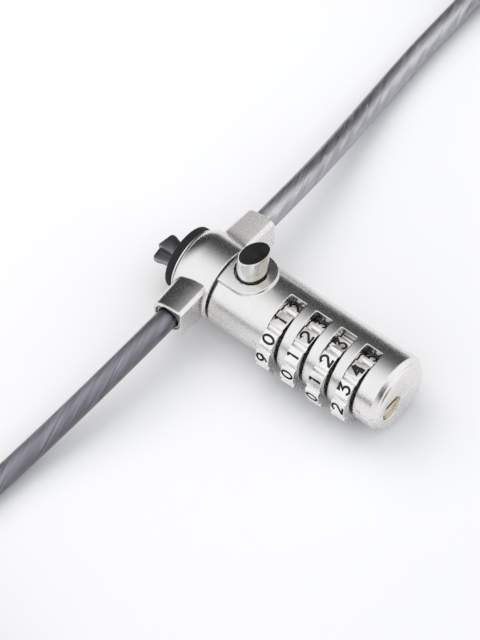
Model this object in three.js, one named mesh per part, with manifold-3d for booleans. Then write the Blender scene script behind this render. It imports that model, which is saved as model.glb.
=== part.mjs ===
// Laptop cable lock with four number wheels, a push button, a swivelling cable
// collar and a pair of hook fingers. Millimetres, +Z up.
//
// Lock frame, used for every dimension below: X runs along the barrel axis,
// with the hook fingers at -X, the reading side at -Y and the button at +Z.
// The origin is on the barrel axis, under the button. The last lines move
// the whole lock so that its own box stands centred on z = 0.

import * as THREE from 'three';
import { mergeVertices } from 'three/addons/utils/BufferGeometryUtils.js';
import Module from 'manifold-3d';

const wasm = await Module();
wasm.setup();

// ---------------------------------------------------------------- dimensions

// Barrel
const BARREL_R = 9;
const BARREL_FRONT = -3.8;
const BARREL_END = 42.4;
const SHELL_SEAM = 0.03;

// Wheel axis, offset from the barrel axis towards the reading side
const WHEEL_Y = -3.24;
const WHEEL_Z = -0.41;
const WHEEL_FIRST_X = 13.3;
const WHEEL_PITCH = 6.84;
const WHEEL_COUNT = 4;
const WHEEL_FLAT_R = 7.95;
const WHEEL_TIP_R = 8.2;
const WHEEL_WIDTH = 3.5;
const WHEEL_BORE_R = 4.2;
const DIGITS = 10;
const DIGIT_STEP = 360 / DIGITS;
const REST_PHASE_DEG = [8.5, 8.5, 22.5, 8.5];
const SLOT_AHEAD = 1.92;
const SLOT_BEHIND = 2.35;
const SLOT_R = 8.6;
const WINDOW_BACK_Y = 1.45;
const SLEEVE_BORE_R = 4.3;

// Button and its boss
const BUTTON_X = 1;
const BUTTON_Y = 0.7;
const BOSS_R = 5.8;
const BOSS_TOP = 9.6;
const BOSS_CROWN_R = 15;
const BUTTON_R = 3.4;
const BUTTON_FLANGE_R = 3.65;
const BUTTON_BORE_R = 3.8;
const BUTTON_RISE = 6;
const BUTTON_SLANT = 0.5;
const BUTTON_SLANT_TURN = 22;

// Swivel collar and the nose that carries it
const COLLAR_REAR = -4.4;
const COLLAR_FRONT = -14.3;
const COLLAR_R = 9;
const COLLAR_NOSE_R = 7.6;
const COLLAR_BORE_R = 6.7;
const NOSE_R = 6.4;
const NOSE_CAVITY_R = 5.3;
const NOSE_FRONT = -14.9;
const NOSE_RIM_R = 7.65;
const NOSE_RIM = 0.4;
const WASHER_R = 7.55;
const WASHER_FRONT = -16.9;
const WASHER_HOLE_R = 4.2;

// Cable lugs on the collar
const LUG_FACE_X = -5;
const CABLE_X = -8.9;
const CABLE_Z = 1.3;
const LUG_REACH = 16;
const LUG_HALF_HEIGHT = 4.6;
const LUG_FRONT_X = -13.2;
const LUG_ROUND_R = 2.6;
const LUG_ROUND_FROM = 107;
const LUG_CROWN_X = -6.5;
const LUG_CROWN_R = 16;
const LUG_CHAMFER = 0.75;
const LUG_TAPER = 0.92;
const LUG_BORE_R = 3.35;
const FERRULE_R = 3.05;
const FERRULE_BORE_R = 2.85;

// Hook fingers
const HOOK_Y = -1.4;
const PIVOT_X = -12;
const HOOK_TIP = 10.8;
const HOOK_THICK = 1.2;
const HOOK_GAP = 0.06;
const HOOK_SPREAD_DEG = 8;
const DRIVE_X = -7;

// Cables
const CABLE_D = 5;
const COIL_MID_R = 25;
const COIL_OUT_R = COIL_MID_R + CABLE_D;
const COIL_IN_R = COIL_MID_R - CABLE_D;
const FLOOR_Z = -BARREL_R;
const GAP = 0.35;

// ------------------------------------------------------------------ materials

const finish = (color, roughness, metalness) =>
  new THREE.MeshStandardMaterial({ color, roughness, metalness });
const SATIN_NICKEL = finish(0xc9c5bf, 0.36, 1);
const CHROME = finish(0xdedcd8, 0.08, 1);
const DARK_STEEL = finish(0x77777a, 0.4, 1);
const STEEL = finish(0xa4a5a8, 0.3, 1);
const BRASS = finish(0xb9a06a, 0.35, 1);
const RUBBER = finish(0x1a1a1b, 0.8, 0);
const CABLE = finish(0x6d6c74, 0.3, 0.3);
const STRAP = finish(0x202022, 0.9, 0);

// -------------------------------------------------------------- solid helpers

const RAD = Math.PI / 180;

function dropSliverFaces(index) {
  const kept = [];
  for (let i = 0; i < index.length; i += 3) {
    const [a, b, c] = [index[i], index[i + 1], index[i + 2]];
    if (a !== b && b !== c && c !== a) kept.push(a, b, c);
  }
  return kept;
}

function signedVolume(position, index) {
  const [a, b, c] = [new THREE.Vector3(), new THREE.Vector3(), new THREE.Vector3()];
  let sum = 0;
  for (let i = 0; i < index.length; i += 3) {
    a.fromBufferAttribute(position, index[i]);
    b.fromBufferAttribute(position, index[i + 1]);
    c.fromBufferAttribute(position, index[i + 2]);
    sum += a.dot(b.cross(c));
  }
  return sum / 6;
}

// A closed geometry as a manifold solid with its faces pointing out.
function solid(geometry) {
  geometry.deleteAttribute('normal');
  geometry.deleteAttribute('uv');
  const merged = mergeVertices(geometry, 1e-4);
  const index = dropSliverFaces(merged.index.array);
  if (signedVolume(merged.attributes.position, index) < 0) index.reverse();
  return new wasm.Manifold(new wasm.Mesh({
    numProp: 3,
    vertProperties: new Float32Array(merged.attributes.position.array),
    triVerts: new Uint32Array(index),
  }));
}

function geometryOf(manifold) {
  const mesh = manifold.getMesh();
  const geometry = new THREE.BufferGeometry();
  geometry.setAttribute('position', new THREE.BufferAttribute(mesh.vertProperties, 3));
  geometry.setIndex(new THREE.BufferAttribute(mesh.triVerts, 1));
  geometry.computeVertexNormals();
  return geometry;
}

const joined = (...solids) => solids.reduce((a, b) => a.add(b));
const cut = (body, ...tools) => tools.reduce((a, b) => a.subtract(b), body);

function box(x0, x1, y0, y1, z0, z1) {
  const geometry = new THREE.BoxGeometry(x1 - x0, y1 - y0, z1 - z0);
  return solid(geometry.translate((x0 + x1) / 2, (y0 + y1) / 2, (z0 + z1) / 2));
}

// Round bars along each axis; cy, cz and so on are the axis' place.
function barX(r, x0, x1, cy = 0, cz = 0, sides = 32) {
  const geometry = new THREE.CylinderGeometry(r, r, x1 - x0, sides);
  return solid(geometry.rotateZ(-Math.PI / 2).translate((x0 + x1) / 2, cy, cz));
}

function barY(r, y0, y1, cx = 0, cz = 0, sides = 20) {
  const geometry = new THREE.CylinderGeometry(r, r, y1 - y0, sides);
  return solid(geometry.translate(cx, (y0 + y1) / 2, cz));
}

function barZ(r, z0, z1, cx = 0, cy = 0, sides = 28) {
  const geometry = new THREE.CylinderGeometry(r, r, z1 - z0, sides);
  return solid(geometry.rotateX(Math.PI / 2).translate(cx, cy, (z0 + z1) / 2));
}

// A profile of [x, radius] points turned about the X axis.
function turnedX(profile, sides = 48) {
  const points = profile.map(([x, r]) => new THREE.Vector2(r, x));
  const geometry = new THREE.LatheGeometry(points, sides);
  return solid(geometry.rotateZ(-Math.PI / 2));
}

// A profile of [radius, z] points turned about a line along Z.
function turnedZ(profile, cx, cy, sides) {
  const points = profile.map(([r, z]) => new THREE.Vector2(r, z));
  const geometry = new THREE.LatheGeometry(points, sides);
  return solid(geometry.rotateX(Math.PI / 2).translate(cx, cy, 0));
}

// An [x, y] outline raised from z0 to z1.
function plateZ(outline, z0, z1) {
  const shape = new THREE.Shape(outline.map(([x, y]) => new THREE.Vector2(x, y)));
  const options = { depth: z1 - z0, bevelEnabled: false };
  return solid(new THREE.ExtrudeGeometry(shape, options).translate(0, 0, z0));
}

// An [x, z] outline spread from y0 to y1.
function plateY(outline, y0, y1) {
  const shape = new THREE.Shape(outline.map(([x, z]) => new THREE.Vector2(x, z)));
  const options = { depth: y1 - y0, bevelEnabled: false };
  return solid(new THREE.ExtrudeGeometry(shape, options).rotateX(Math.PI / 2).translate(0, y1, 0));
}

// A skin over rings of equal point counts, closed by a flat cap at each end.
function loft(rings) {
  const count = rings[0].length;
  const position = rings.flat().flat();
  const index = [];
  for (let k = 0; k + 1 < rings.length; k += 1) {
    for (let i = 0; i < count; i += 1) {
      const j = (i + 1) % count;
      const [a, b] = [k * count + i, k * count + j];
      index.push(a, b, b + count, a, b + count, a + count);
    }
  }
  const last = (rings.length - 1) * count;
  for (let i = 1; i + 1 < count; i += 1) {
    index.push(0, i + 1, i, last, last + i, last + i + 1);
  }
  const geometry = new THREE.BufferGeometry();
  geometry.setAttribute('position', new THREE.Float32BufferAttribute(position, 3));
  geometry.setIndex(index);
  return solid(geometry);
}

function arc(cx, cy, r, fromDeg, toDeg, steps) {
  const points = [];
  for (let i = 0; i <= steps; i += 1) {
    const t = (fromDeg + ((toDeg - fromDeg) * i) / steps) * RAD;
    points.push([cx + r * Math.cos(t), cy + r * Math.sin(t)]);
  }
  return points;
}

// A round rope of `sides` sides along a curve.
function rope(curve, r, steps, sides) {
  const section = new THREE.Shape(
    arc(0, 0, r, 0, 360 - 360 / sides, sides - 1).map(([x, y]) => new THREE.Vector2(x, y)),
  );
  const options = { steps, extrudePath: curve, bevelEnabled: false };
  return solid(new THREE.ExtrudeGeometry(section, options));
}

function smoothCurve(points) {
  return new THREE.CatmullRomCurve3(points.map((p) => new THREE.Vector3(...p)), false, 'centripetal');
}

// A coil spring whose axis runs along X (or Z), from `from` to `to`.
function coilSpring({ axis, from, to, r, wire, turns, cy = 0, cz = 0, stepsPerTurn = 8 }) {
  const points = [];
  const count = Math.round(turns * stepsPerTurn);
  for (let i = 0; i <= count; i += 1) {
    const t = i / count;
    const angle = t * turns * 2 * Math.PI;
    const along = from + wire + (to - from - 2 * wire) * t;
    const [u, v] = [r * Math.cos(angle), r * Math.sin(angle)];
    points.push(axis === 'x' ? [along, cy + u, cz + v] : [cy + u, cz + v, along]);
  }
  return rope(smoothCurve(points), wire, count, 5);
}

// --------------------------------------------------------------- scene helper

const lock = new THREE.Group();

function place(name, shape, material, parent = lock) {
  const mesh = new THREE.Mesh(geometryOf(shape), material);
  mesh.name = name;
  parent.add(mesh);
  return mesh;
}

const wheelX = (k) => WHEEL_FIRST_X + k * WHEEL_PITCH;

// --------------------------------------------------------------- barrel shells

function barrelBlank() {
  const skin = turnedX([
    [BARREL_FRONT, 0],
    [BARREL_FRONT, BARREL_R - 0.35],
    [BARREL_FRONT + 0.45, BARREL_R],
    [40.5, BARREL_R],
    [41.5, 8.15],
    [42.15, 7.45],
    [BARREL_END, 6.8],
    [BARREL_END, 0],
  ]);
  const outline = [
    [BARREL_FRONT, BUTTON_Y - BOSS_R],
    ...arc(BUTTON_X, BUTTON_Y, BOSS_R, -90, 90, 16),
    [BARREL_FRONT, BUTTON_Y + BOSS_R],
  ];
  const crown = barX(BOSS_CROWN_R, BARREL_FRONT - 1, 9, BUTTON_Y, BOSS_TOP - BOSS_CROWN_R, 120);
  return skin.add(plateZ(outline, 2, BOSS_TOP + 1).intersect(crown));
}

function wheelSlot(k) {
  const [x0, x1] = [wheelX(k) - SLOT_AHEAD, wheelX(k) + SLOT_BEHIND];
  return joined(
    barX(SLOT_R, x0, x1, WHEEL_Y, WHEEL_Z, 40),
    box(x0, x1, -BARREL_R - 1, WINDOW_BACK_Y, 0.5, BARREL_R + 1),
  );
}

// Pocket for a detent ball and its spring, opening into the wheel slot.
const detentPocket = (k) => barY(0.95, 4.6, 8.4, wheelX(k), WHEEL_Z, 12);

const DOWEL_R = 0.8;
const DOWELS = [[8.2, 5], [38.6, 4.4]];
const SOCKET_R = 7.1;
const SOCKET_DEPTH = 2.2;
const WEB_BELOW_BUTTON = 2.2;
const BUTTON_BORE_FLOOR = 2.8;
const SPINDLE_R = 1.75;
const SPRING_WALL_X = 4.3;
const SLEEVE_BORE_FROM = 5.3;
const SLEEVE_BORE_TO = 40;
const RESET_HOLE_R = 2.9;
const RESET_FACE_X = 41.5;
const DOT_R = 0.55;

function barrelCavities() {
  const slots = Array.from({ length: WHEEL_COUNT }, (_, k) => wheelSlot(k));
  const pockets = Array.from({ length: WHEEL_COUNT }, (_, k) => detentPocket(k));
  return joined(
    ...slots,
    ...pockets,
    barX(SLEEVE_BORE_R, SLEEVE_BORE_FROM, SLEEVE_BORE_TO, WHEEL_Y, WHEEL_Z),
    barX(RESET_HOLE_R, SLEEVE_BORE_TO - 1, BARREL_END + 1, WHEEL_Y, WHEEL_Z),
    barX(SPINDLE_R + 0.25, SPRING_WALL_X - 1, SLEEVE_BORE_FROM + 1, WHEEL_Y, WHEEL_Z, 24),
    barX(SOCKET_R, BARREL_FRONT - 1, BARREL_FRONT + SOCKET_DEPTH, 0, 0, 40),
    box(BARREL_FRONT - 1, SPRING_WALL_X, -5.1, 2.3, -2.6, WEB_BELOW_BUTTON),
    barZ(BUTTON_BORE_R, BUTTON_BORE_FLOOR, BOSS_TOP + 1, BUTTON_X, BUTTON_Y),
    box(-1.5, 2.3, -1.4, 1.75, WEB_BELOW_BUTTON - 1, BUTTON_BORE_FLOOR + 1),
    ...DOWELS.map(([x, y]) => barZ(DOWEL_R + 0.03, -4.1, 4.1, x, y, 12)),
    barY(DOT_R, -BARREL_R - 1, -BARREL_R + 0.25, 9.3, 0.6, 12),
    barY(DOT_R, -BARREL_R - 1, -BARREL_R + 0.25, 37.6, 0.6, 12),
  );
}

function addBarrel() {
  const whole = barrelBlank().subtract(barrelCavities());
  const far = 60;
  place('barrel_upper_shell', whole.intersect(box(-far, far, -far, far, SHELL_SEAM, far)), SATIN_NICKEL);
  place('barrel_lower_shell', whole.intersect(box(-far, far, -far, far, -far, -SHELL_SEAM)), SATIN_NICKEL);
  DOWELS.forEach(([x, y], i) => {
    place(`shell_dowel_${i + 1}`, barZ(DOWEL_R, -3.9, 3.9, x, y, 12), STEEL);
  });
}

// ------------------------------------------------------- nose, rim and washer

function noseCore() {
  const body = joined(
    barX(NOSE_R, NOSE_FRONT, BARREL_FRONT + 0.5, 0, 0, 40),
    barX(NOSE_RIM_R, NOSE_FRONT, NOSE_FRONT + NOSE_RIM, 0, 0, 40),
    barX(SOCKET_R - 0.05, BARREL_FRONT + 0.1, BARREL_FRONT + SOCKET_DEPTH - 0.05, 0, 0, 40),
  );
  const frontWall = -13.2;
  return cut(
    body,
    barX(NOSE_CAVITY_R, frontWall, 0),
    box(NOSE_FRONT - 1, frontWall + 1, HOOK_Y - 3, HOOK_Y + 3, -1.6, 1.6),
    barZ(0.83, -8, 8, PIVOT_X, HOOK_Y, 12),
    barZ(BUTTON_BORE_R + 0.3, WEB_BELOW_BUTTON - 0.3, BOSS_TOP + 2, BUTTON_X, BUTTON_Y),
  );
}

function rubberWasher() {
  const rear = NOSE_FRONT - 0.05;
  const ring = turnedX([
    [rear, 0],
    [rear, WASHER_R],
    [WASHER_FRONT + 0.55, WASHER_R],
    [WASHER_FRONT + 0.15, WASHER_R - 0.18],
    [WASHER_FRONT, WASHER_R - 0.6],
    [WASHER_FRONT, 0],
  ], 40);
  return ring.subtract(barX(WASHER_HOLE_R, WASHER_FRONT - 1, NOSE_FRONT + 1, HOOK_Y));
}

// ------------------------------------------------------------ collar and lugs

// Section of a lug about the cable: flat towards the barrel, crowned above and
// below, rounded towards the fingers.
function lugSection(taper) {
  const h = LUG_HALF_HEIGHT * taper;
  const face = LUG_FACE_X - 0.25 * (1 - taper);
  const bend = CABLE_X + (LUG_FRONT_X - CABLE_X) * taper + LUG_ROUND_R;
  const crown = (x) => h - (x - LUG_CROWN_X) ** 2 / (2 * LUG_CROWN_R);
  const from = face - LUG_CHAMFER;
  const shoulder = bend + LUG_ROUND_R * Math.cos(LUG_ROUND_FROM * RAD);
  const bendZ = crown(shoulder) - LUG_ROUND_R * Math.sin(LUG_ROUND_FROM * RAD);
  const upper = [
    [face, h - LUG_CHAMFER],
    ...[0, 0.25, 0.5, 0.75].map((t) => from + (shoulder - from) * t).map((x) => [x, crown(x)]),
    ...arc(bend, bendZ, LUG_ROUND_R, LUG_ROUND_FROM, 180, 5),
  ];
  const lower = upper.slice(0, -1).reverse().map(([x, z]) => [x, -z]);
  return [...upper, ...lower].map(([x, z]) => [x, CABLE_Z + z]);
}

function lug(side) {
  const [rootY, mouthY] = [4.2, LUG_REACH];
  const rings = [[rootY, 1], [9, 0.985], [mouthY - 0.35, LUG_TAPER], [mouthY, LUG_TAPER * 0.965]]
    .map(([y, taper]) => lugSection(taper).map(([x, z]) => [x, side * y, z]));
  return loft(rings);
}

function swivelCollar() {
  const shell = turnedX([
    [COLLAR_REAR, 0],
    [COLLAR_REAR, COLLAR_R - 0.2],
    [COLLAR_REAR - 0.2, COLLAR_R],
    [-11.2, COLLAR_R],
    [-12.6, 8.78],
    [-13.5, 8.35],
    [-14.1, 7.85],
    [COLLAR_FRONT, COLLAR_NOSE_R],
    [COLLAR_FRONT, 0],
  ]);
  return cut(
    joined(shell, lug(1), lug(-1)),
    barX(COLLAR_BORE_R, COLLAR_FRONT - 1, COLLAR_REAR + 1, 0, 0, 40),
    barY(LUG_BORE_R, -LUG_REACH - 1, -LUG_REACH + 1.1, CABLE_X, CABLE_Z),
    barY(LUG_BORE_R, LUG_REACH - 1.1, LUG_REACH + 1, CABLE_X, CABLE_Z),
    barY(FERRULE_R + 0.02, -LUG_REACH, -8, CABLE_X, CABLE_Z),
    barY(FERRULE_R + 0.02, 8, LUG_REACH, CABLE_X, CABLE_Z),
  );
}

const FERRULE_ROOT = 8.1;
const FERRULE_MOUTH = 15.6;
const CABLE_START = 10.4;

function ferrule(side) {
  const at = (y0, y1) => [Math.min(side * y0, side * y1), Math.max(side * y0, side * y1)];
  return barY(FERRULE_R, ...at(FERRULE_ROOT, FERRULE_MOUTH), CABLE_X, CABLE_Z)
    .subtract(barY(FERRULE_BORE_R, ...at(CABLE_START - GAP, FERRULE_MOUTH + 1), CABLE_X, CABLE_Z));
}

// ---------------------------------------------------------------- hook fingers

// Outline of the upper finger in its closed pose, pivot at the origin, tip at
// -X and its outward side at +Y.
const HOOK_OUTLINE = [
  [6.2, -1.9],
  [6.2, 2.3],
  [2.0, 2.1],
  [0.5, 1.7],
  [-6.6, 1.7],
  [-9.6, 2.05],
  [-10.3, 1.95],
  [-HOOK_TIP, 1.35],
  [-HOOK_TIP, -2.2],
  [-7.6, -1.7],
  [0, -1.7],
];
const DRIVE_SLOT = [[4.95, 0.7], [2.8, 0]];
const DRIVE_SLOT_R = 0.85;

function finger(side) {
  const mirror = ([x, y]) => [x, side * y];
  const outline = HOOK_OUTLINE.map(mirror);
  const [inner, outer] = [HOOK_GAP, HOOK_GAP + HOOK_THICK];
  const [z0, z1] = side > 0 ? [inner, outer] : [-outer, -inner];
  const [[ax, ay], [bx, by]] = DRIVE_SLOT.map(mirror);
  const turn = Math.atan2(by - ay, bx - ax);
  const [dx, dy] = [-Math.sin(turn) * DRIVE_SLOT_R, Math.cos(turn) * DRIVE_SLOT_R];
  const slotSides = [[ax + dx, ay + dy], [bx + dx, by + dy], [bx - dx, by - dy], [ax - dx, ay - dy]];
  return cut(
    plateZ(side > 0 ? outline : outline.reverse(), z0, z1),
    barZ(0.87, -3, 3, 0, 0, 16),
    barZ(DRIVE_SLOT_R, -3, 3, ax, ay, 12),
    barZ(DRIVE_SLOT_R, -3, 3, bx, by, 12),
    plateZ(slotSides, -3, 3),
  );
}

function addFingers() {
  const sides = { hook_finger_upper: 1, hook_finger_lower: -1 };
  Object.entries(sides).forEach(([name, side]) => {
    const mesh = place(name, finger(side), DARK_STEEL);
    mesh.position.set(PIVOT_X, HOOK_Y, 0);
    mesh.rotation.z = -side * HOOK_SPREAD_DEG * RAD;
  });
  place('finger_pivot_pin', barZ(0.8, -5.95, 5.95, PIVOT_X, HOOK_Y, 12), STEEL);
}

// ------------------------------------------------------------ sliding spindle

const FORK_REAR = -2.6;
const LEAF_IN = 1.42;
const LEAF_OUT = 2.12;
const CAM_RISE = 1.9;
const CAM_LINE = 1.6;
const SPINDLE_END = 38.8;
const SPRING_COLLAR_X = 9;
const FIN_FROM = 2.35;
const FIN_THICK = 0.75;
const FIN_R = 2.95;

function spindle() {
  const fork = (z0, z1) => box(-8, FORK_REAR + 0.5, HOOK_Y - 1.8, HOOK_Y + 1.8, z0, z1);
  const cam = plateY([
    [FORK_REAR, -2],
    [CAM_LINE + 2, -2],
    [CAM_LINE - CAM_RISE, CAM_RISE],
    [FORK_REAR, CAM_RISE],
  ], -4.6, 1.9);
  const bridge = box(FORK_REAR, FORK_REAR + 2, HOOK_Y - 1.8, HOOK_Y + 1.8, -LEAF_OUT, LEAF_OUT);
  const fins = Array.from({ length: WHEEL_COUNT }, (_, k) => {
    const x = wheelX(k) + FIN_FROM;
    return box(x, x + FIN_THICK, WHEEL_Y - 0.6, WHEEL_Y + 0.6, WHEEL_Z, WHEEL_Z + FIN_R);
  });
  const body = joined(
    barX(SPINDLE_R, FORK_REAR + 1, SPINDLE_END, WHEEL_Y, WHEEL_Z, 20),
    barX(2.9, SPRING_COLLAR_X, SPRING_COLLAR_X + 0.8, WHEEL_Y, WHEEL_Z, 20),
    cam,
    bridge,
    fork(LEAF_IN, LEAF_OUT),
    fork(-LEAF_OUT, -LEAF_IN),
    ...fins,
  );
  return body.subtract(barZ(0.62, -3, 3, DRIVE_X, HOOK_Y, 12));
}

// ---------------------------------------------------------------- push button

const BUSHING_TOP = BOSS_TOP - 0.55;
const BUSHING_FLOOR = 8.3;
const FLANGE_TOP = 8.15;
const FLANGE_FLOOR = 7.1;
const STEM_FROM_X = -1.2;
const STEM_TO_X = 2;
const STEM_FACE = CAM_LINE + 0.35;

function pushButton() {
  const head = barZ(BUTTON_R, FLANGE_TOP - 0.5, BOSS_TOP + 10.5, BUTTON_X, BUTTON_Y);
  const slope = Math.atan(BUTTON_SLANT);
  const lid = new THREE.BoxGeometry(30, 30, 20).translate(0, 0, 10)
    .rotateY(-slope).rotateZ(BUTTON_SLANT_TURN * RAD)
    .translate(BUTTON_X, BUTTON_Y, BOSS_TOP + BUTTON_RISE);
  const stem = plateY([
    [STEM_TO_X, STEM_FACE - STEM_TO_X],
    [STEM_TO_X, FLANGE_FLOOR + 0.3],
    [STEM_FROM_X, FLANGE_FLOOR + 0.3],
    [STEM_FROM_X, STEM_FACE - STEM_FROM_X],
  ], -1.1, 1.45);
  return joined(
    head.subtract(solid(lid)),
    barZ(BUTTON_FLANGE_R, FLANGE_FLOOR, FLANGE_TOP, BUTTON_X, BUTTON_Y),
    stem,
  );
}

function buttonBushing() {
  return barZ(BUTTON_BORE_R - 0.05, BUSHING_FLOOR, BUSHING_TOP, BUTTON_X, BUTTON_Y)
    .subtract(barZ(BUTTON_R + 0.08, BUSHING_FLOOR - 1, BUSHING_TOP + 1, BUTTON_X, BUTTON_Y));
}

// --------------------------------------------------------------- number wheels

// Ten flats with a notch between neighbours; flat number 0 faces +Z.
function wheelRim(flatR, tipR) {
  const half = 12.5;
  const points = [];
  for (let i = 0; i < DIGITS; i += 1) {
    const mid = 90 - i * DIGIT_STEP;
    const at = (deg, r) => [r * Math.cos(deg * RAD), r * Math.sin(deg * RAD)];
    points.push(at(mid + half, tipR), at(mid - half, tipR));
    points.push(at(mid - DIGIT_STEP / 2 + 2.6, flatR - 0.3), at(mid - DIGIT_STEP / 2 - 2.6, flatR - 0.3));
  }
  return points.reverse();
}

const KEY_HALF = 0.6;
const KEY_R = 4.95;

function numberWheel() {
  const half = WHEEL_WIDTH / 2;
  const notch = (i) => {
    const turn = i * DIGIT_STEP * RAD;
    const slab = new THREE.BoxGeometry(2 * KEY_HALF + 0.3, KEY_R + 0.15, WHEEL_WIDTH + 2);
    return solid(slab.translate(0, (KEY_R + 0.15) / 2, 0).rotateZ(turn));
  };
  const ring = plateZ(wheelRim(WHEEL_FLAT_R, WHEEL_TIP_R), -half, half);
  return cut(ring, barZ(WHEEL_BORE_R, -3, 3), ...Array.from({ length: DIGITS }, (_, i) => notch(i)));
}

// The sleeve's gate stays at +Z for the code that opens the lock; its keys sit
// in the wheel's notches, so they turn with the number that is set.
function clutchSleeve(keyTurnDeg) {
  const half = WHEEL_WIDTH / 2;
  const keys = new THREE.BoxGeometry(2 * KEY_HALF, 2 * KEY_R, WHEEL_WIDTH - 0.2);
  const webFrom = 1.25;
  const webTo = 2.05;
  const body = joined(
    barZ(4.05, -half, webTo, 0, 0, 24),
    solid(keys.rotateZ(keyTurnDeg * RAD)),
  );
  return cut(
    body,
    barZ(3.15, -3, webFrom, 0, 0, 20),
    barZ(SPINDLE_R + 0.2, -3, 3, 0, 0, 16),
    box(-0.85, 0.85, 0, FIN_R + 0.2, webFrom - 0.5, webTo + 1),
  );
}

// A wheel or sleeve is drawn about Z: a third of a turn about the diagonal takes
// Z to X, X to Y and Y to Z, and the roll about the wheel axis comes after it.
function onWheelAxis(mesh, x, rollDeg) {
  const spin = new THREE.Group();
  spin.position.set(x, WHEEL_Y, WHEEL_Z);
  spin.rotation.x = rollDeg * RAD;
  const tilt = new THREE.Group();
  tilt.quaternion.setFromAxisAngle(new THREE.Vector3(1, 1, 1).normalize(), 120 * RAD);
  tilt.add(mesh);
  spin.add(tilt);
  lock.add(spin);
}

function addWheels() {
  for (let k = 0; k < WHEEL_COUNT; k += 1) {
    const wheel = place(`number_wheel_${k + 1}`, numberWheel(), SATIN_NICKEL);
    onWheelAxis(wheel, wheelX(k), REST_PHASE_DEG[k]);
    const sleeve = place(`clutch_sleeve_${k + 1}`, clutchSleeve(REST_PHASE_DEG[k]), BRASS);
    onWheelAxis(sleeve, wheelX(k), 0);
    const ballY = WHEEL_Y + WHEEL_TIP_R + 0.12 + 0.8;
    const ball = new THREE.SphereGeometry(0.8, 8, 6).translate(wheelX(k), ballY, WHEEL_Z);
    place(`detent_ball_${k + 1}`, solid(ball), STEEL);
    const spring = coilSpring({
      axis: 'x', from: ballY + 0.75, to: 8.35, r: 0.62, wire: 0.14, turns: 3, stepsPerTurn: 6,
    });
    const mesh = place(`detent_spring_${k + 1}`, spring, STEEL);
    mesh.rotation.z = Math.PI / 2;
    mesh.position.set(wheelX(k), 0, WHEEL_Z);
  }
}

// ------------------------------------------------------- springs and reset end

function addSprings() {
  place('button_spring', coilSpring({
    axis: 'z', from: BUTTON_BORE_FLOOR + 0.1, to: FLANGE_FLOOR - 0.1, r: 3.2, wire: 0.25, turns: 3.5,
    cy: BUTTON_X, cz: BUTTON_Y,
  }), STEEL);
  place('spindle_spring', coilSpring({
    axis: 'x', from: SLEEVE_BORE_FROM + 0.1, to: SPRING_COLLAR_X - 0.1, r: 2.45, wire: 0.25, turns: 3.5,
    cy: WHEEL_Y, cz: WHEEL_Z,
  }), STEEL);
}

function resetScrew() {
  const head = barX(2.75, SLEEVE_BORE_TO - 0.3, RESET_FACE_X, WHEEL_Y, WHEEL_Z);
  const flange = barX(3.9, SLEEVE_BORE_TO - 0.9, SLEEVE_BORE_TO - 0.15, WHEEL_Y, WHEEL_Z);
  const slot = box(
    RESET_FACE_X - 0.8, RESET_FACE_X + 1, WHEEL_Y - 4, WHEEL_Y + 4, WHEEL_Z - 0.4, WHEEL_Z + 0.4,
  );
  return head.add(flange).subtract(slot);
}

function rearBearing() {
  return barX(SLEEVE_BORE_R - 0.05, 37.5, 38.3, WHEEL_Y, WHEEL_Z, 28)
    .subtract(barX(SPINDLE_R + 0.08, 37, 39, WHEEL_Y, WHEEL_Z, 20));
}

// ---------------------------------------------------------------------- cables

// Middles of the two storage coils, and how many layers high each stands.
const COILS = {
  near: { centre: [-1, -139], layers: 4 },
  far: { centre: [-1, 138], layers: 2 },
};

// Each route is the cable's middle line from inside its ferrule to the coil.
const ROUTES = {
  near: [
    [-8.9, -10.4, 1.3],
    [-8.9, -17, 1.3],
    [-9.04, -24, 1],
    [-9.56, -32, 0],
    [-10.35, -40, -1.5],
    [-11.24, -48, -3.1],
    [-12.18, -56, -4.6],
    [-13.01, -64, -5.7],
    [-13.65, -72, -6.25],
    [-14.1, -81, -6.4],
    [-14.3, -90, -6.4],
    [-14.7, -99.5, -6.4],
    [-15.8, -109.2, -6.4],
  ],
  far: [
    [-8.9, 10.4, 1.3],
    [-8.9, 17, 1.3],
    [-9.04, 24, 1],
    [-9.56, 32, 0],
    [-10.45, 40, -1.5],
    [-11.54, 48, -3.1],
    [-12.68, 56, -4.6],
    [-13.71, 64, -5.7],
    [-14.45, 72, -6.25],
    [-15, 81, -6.4],
    [-15.2, 90, -6.4],
    [-15.4, 99, -6.4],
    [-16.1, 108, -6.4],
  ],
};

function storageCoil({ centre: [cx, cy], layers }) {
  const [z0, z1] = [FLOOR_Z + 0.05, FLOOR_Z + layers * CABLE_D];
  const edge = 1.2;
  return turnedZ([
    [COIL_IN_R, z0 + edge],
    [COIL_IN_R + edge, z0],
    [COIL_OUT_R - edge, z0],
    [COIL_OUT_R, z0 + edge],
    [COIL_OUT_R, z1 - edge],
    [COIL_OUT_R - edge, z1],
    [COIL_IN_R + edge, z1],
    [COIL_IN_R, z1 - edge],
    [COIL_IN_R, z0 + edge],
  ], cx, cy, 32);
}

// The end eye is the cable bent back on itself and held by an oval crimp.
const CRIMP_R = 3.3;
const CRIMP_LENGTH = 12;
const CRIMP_START = -12;
const CRIMP_OFFSET = 11.3;
const EYE_LENGTH = 35;
const EYE_HALF_WIDTH = 9.8;
const STRAND_Y = 2.6;

const eyeHeight = (layers) => FLOOR_Z + layers * CABLE_D + CRIMP_R + 0.3;

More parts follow.
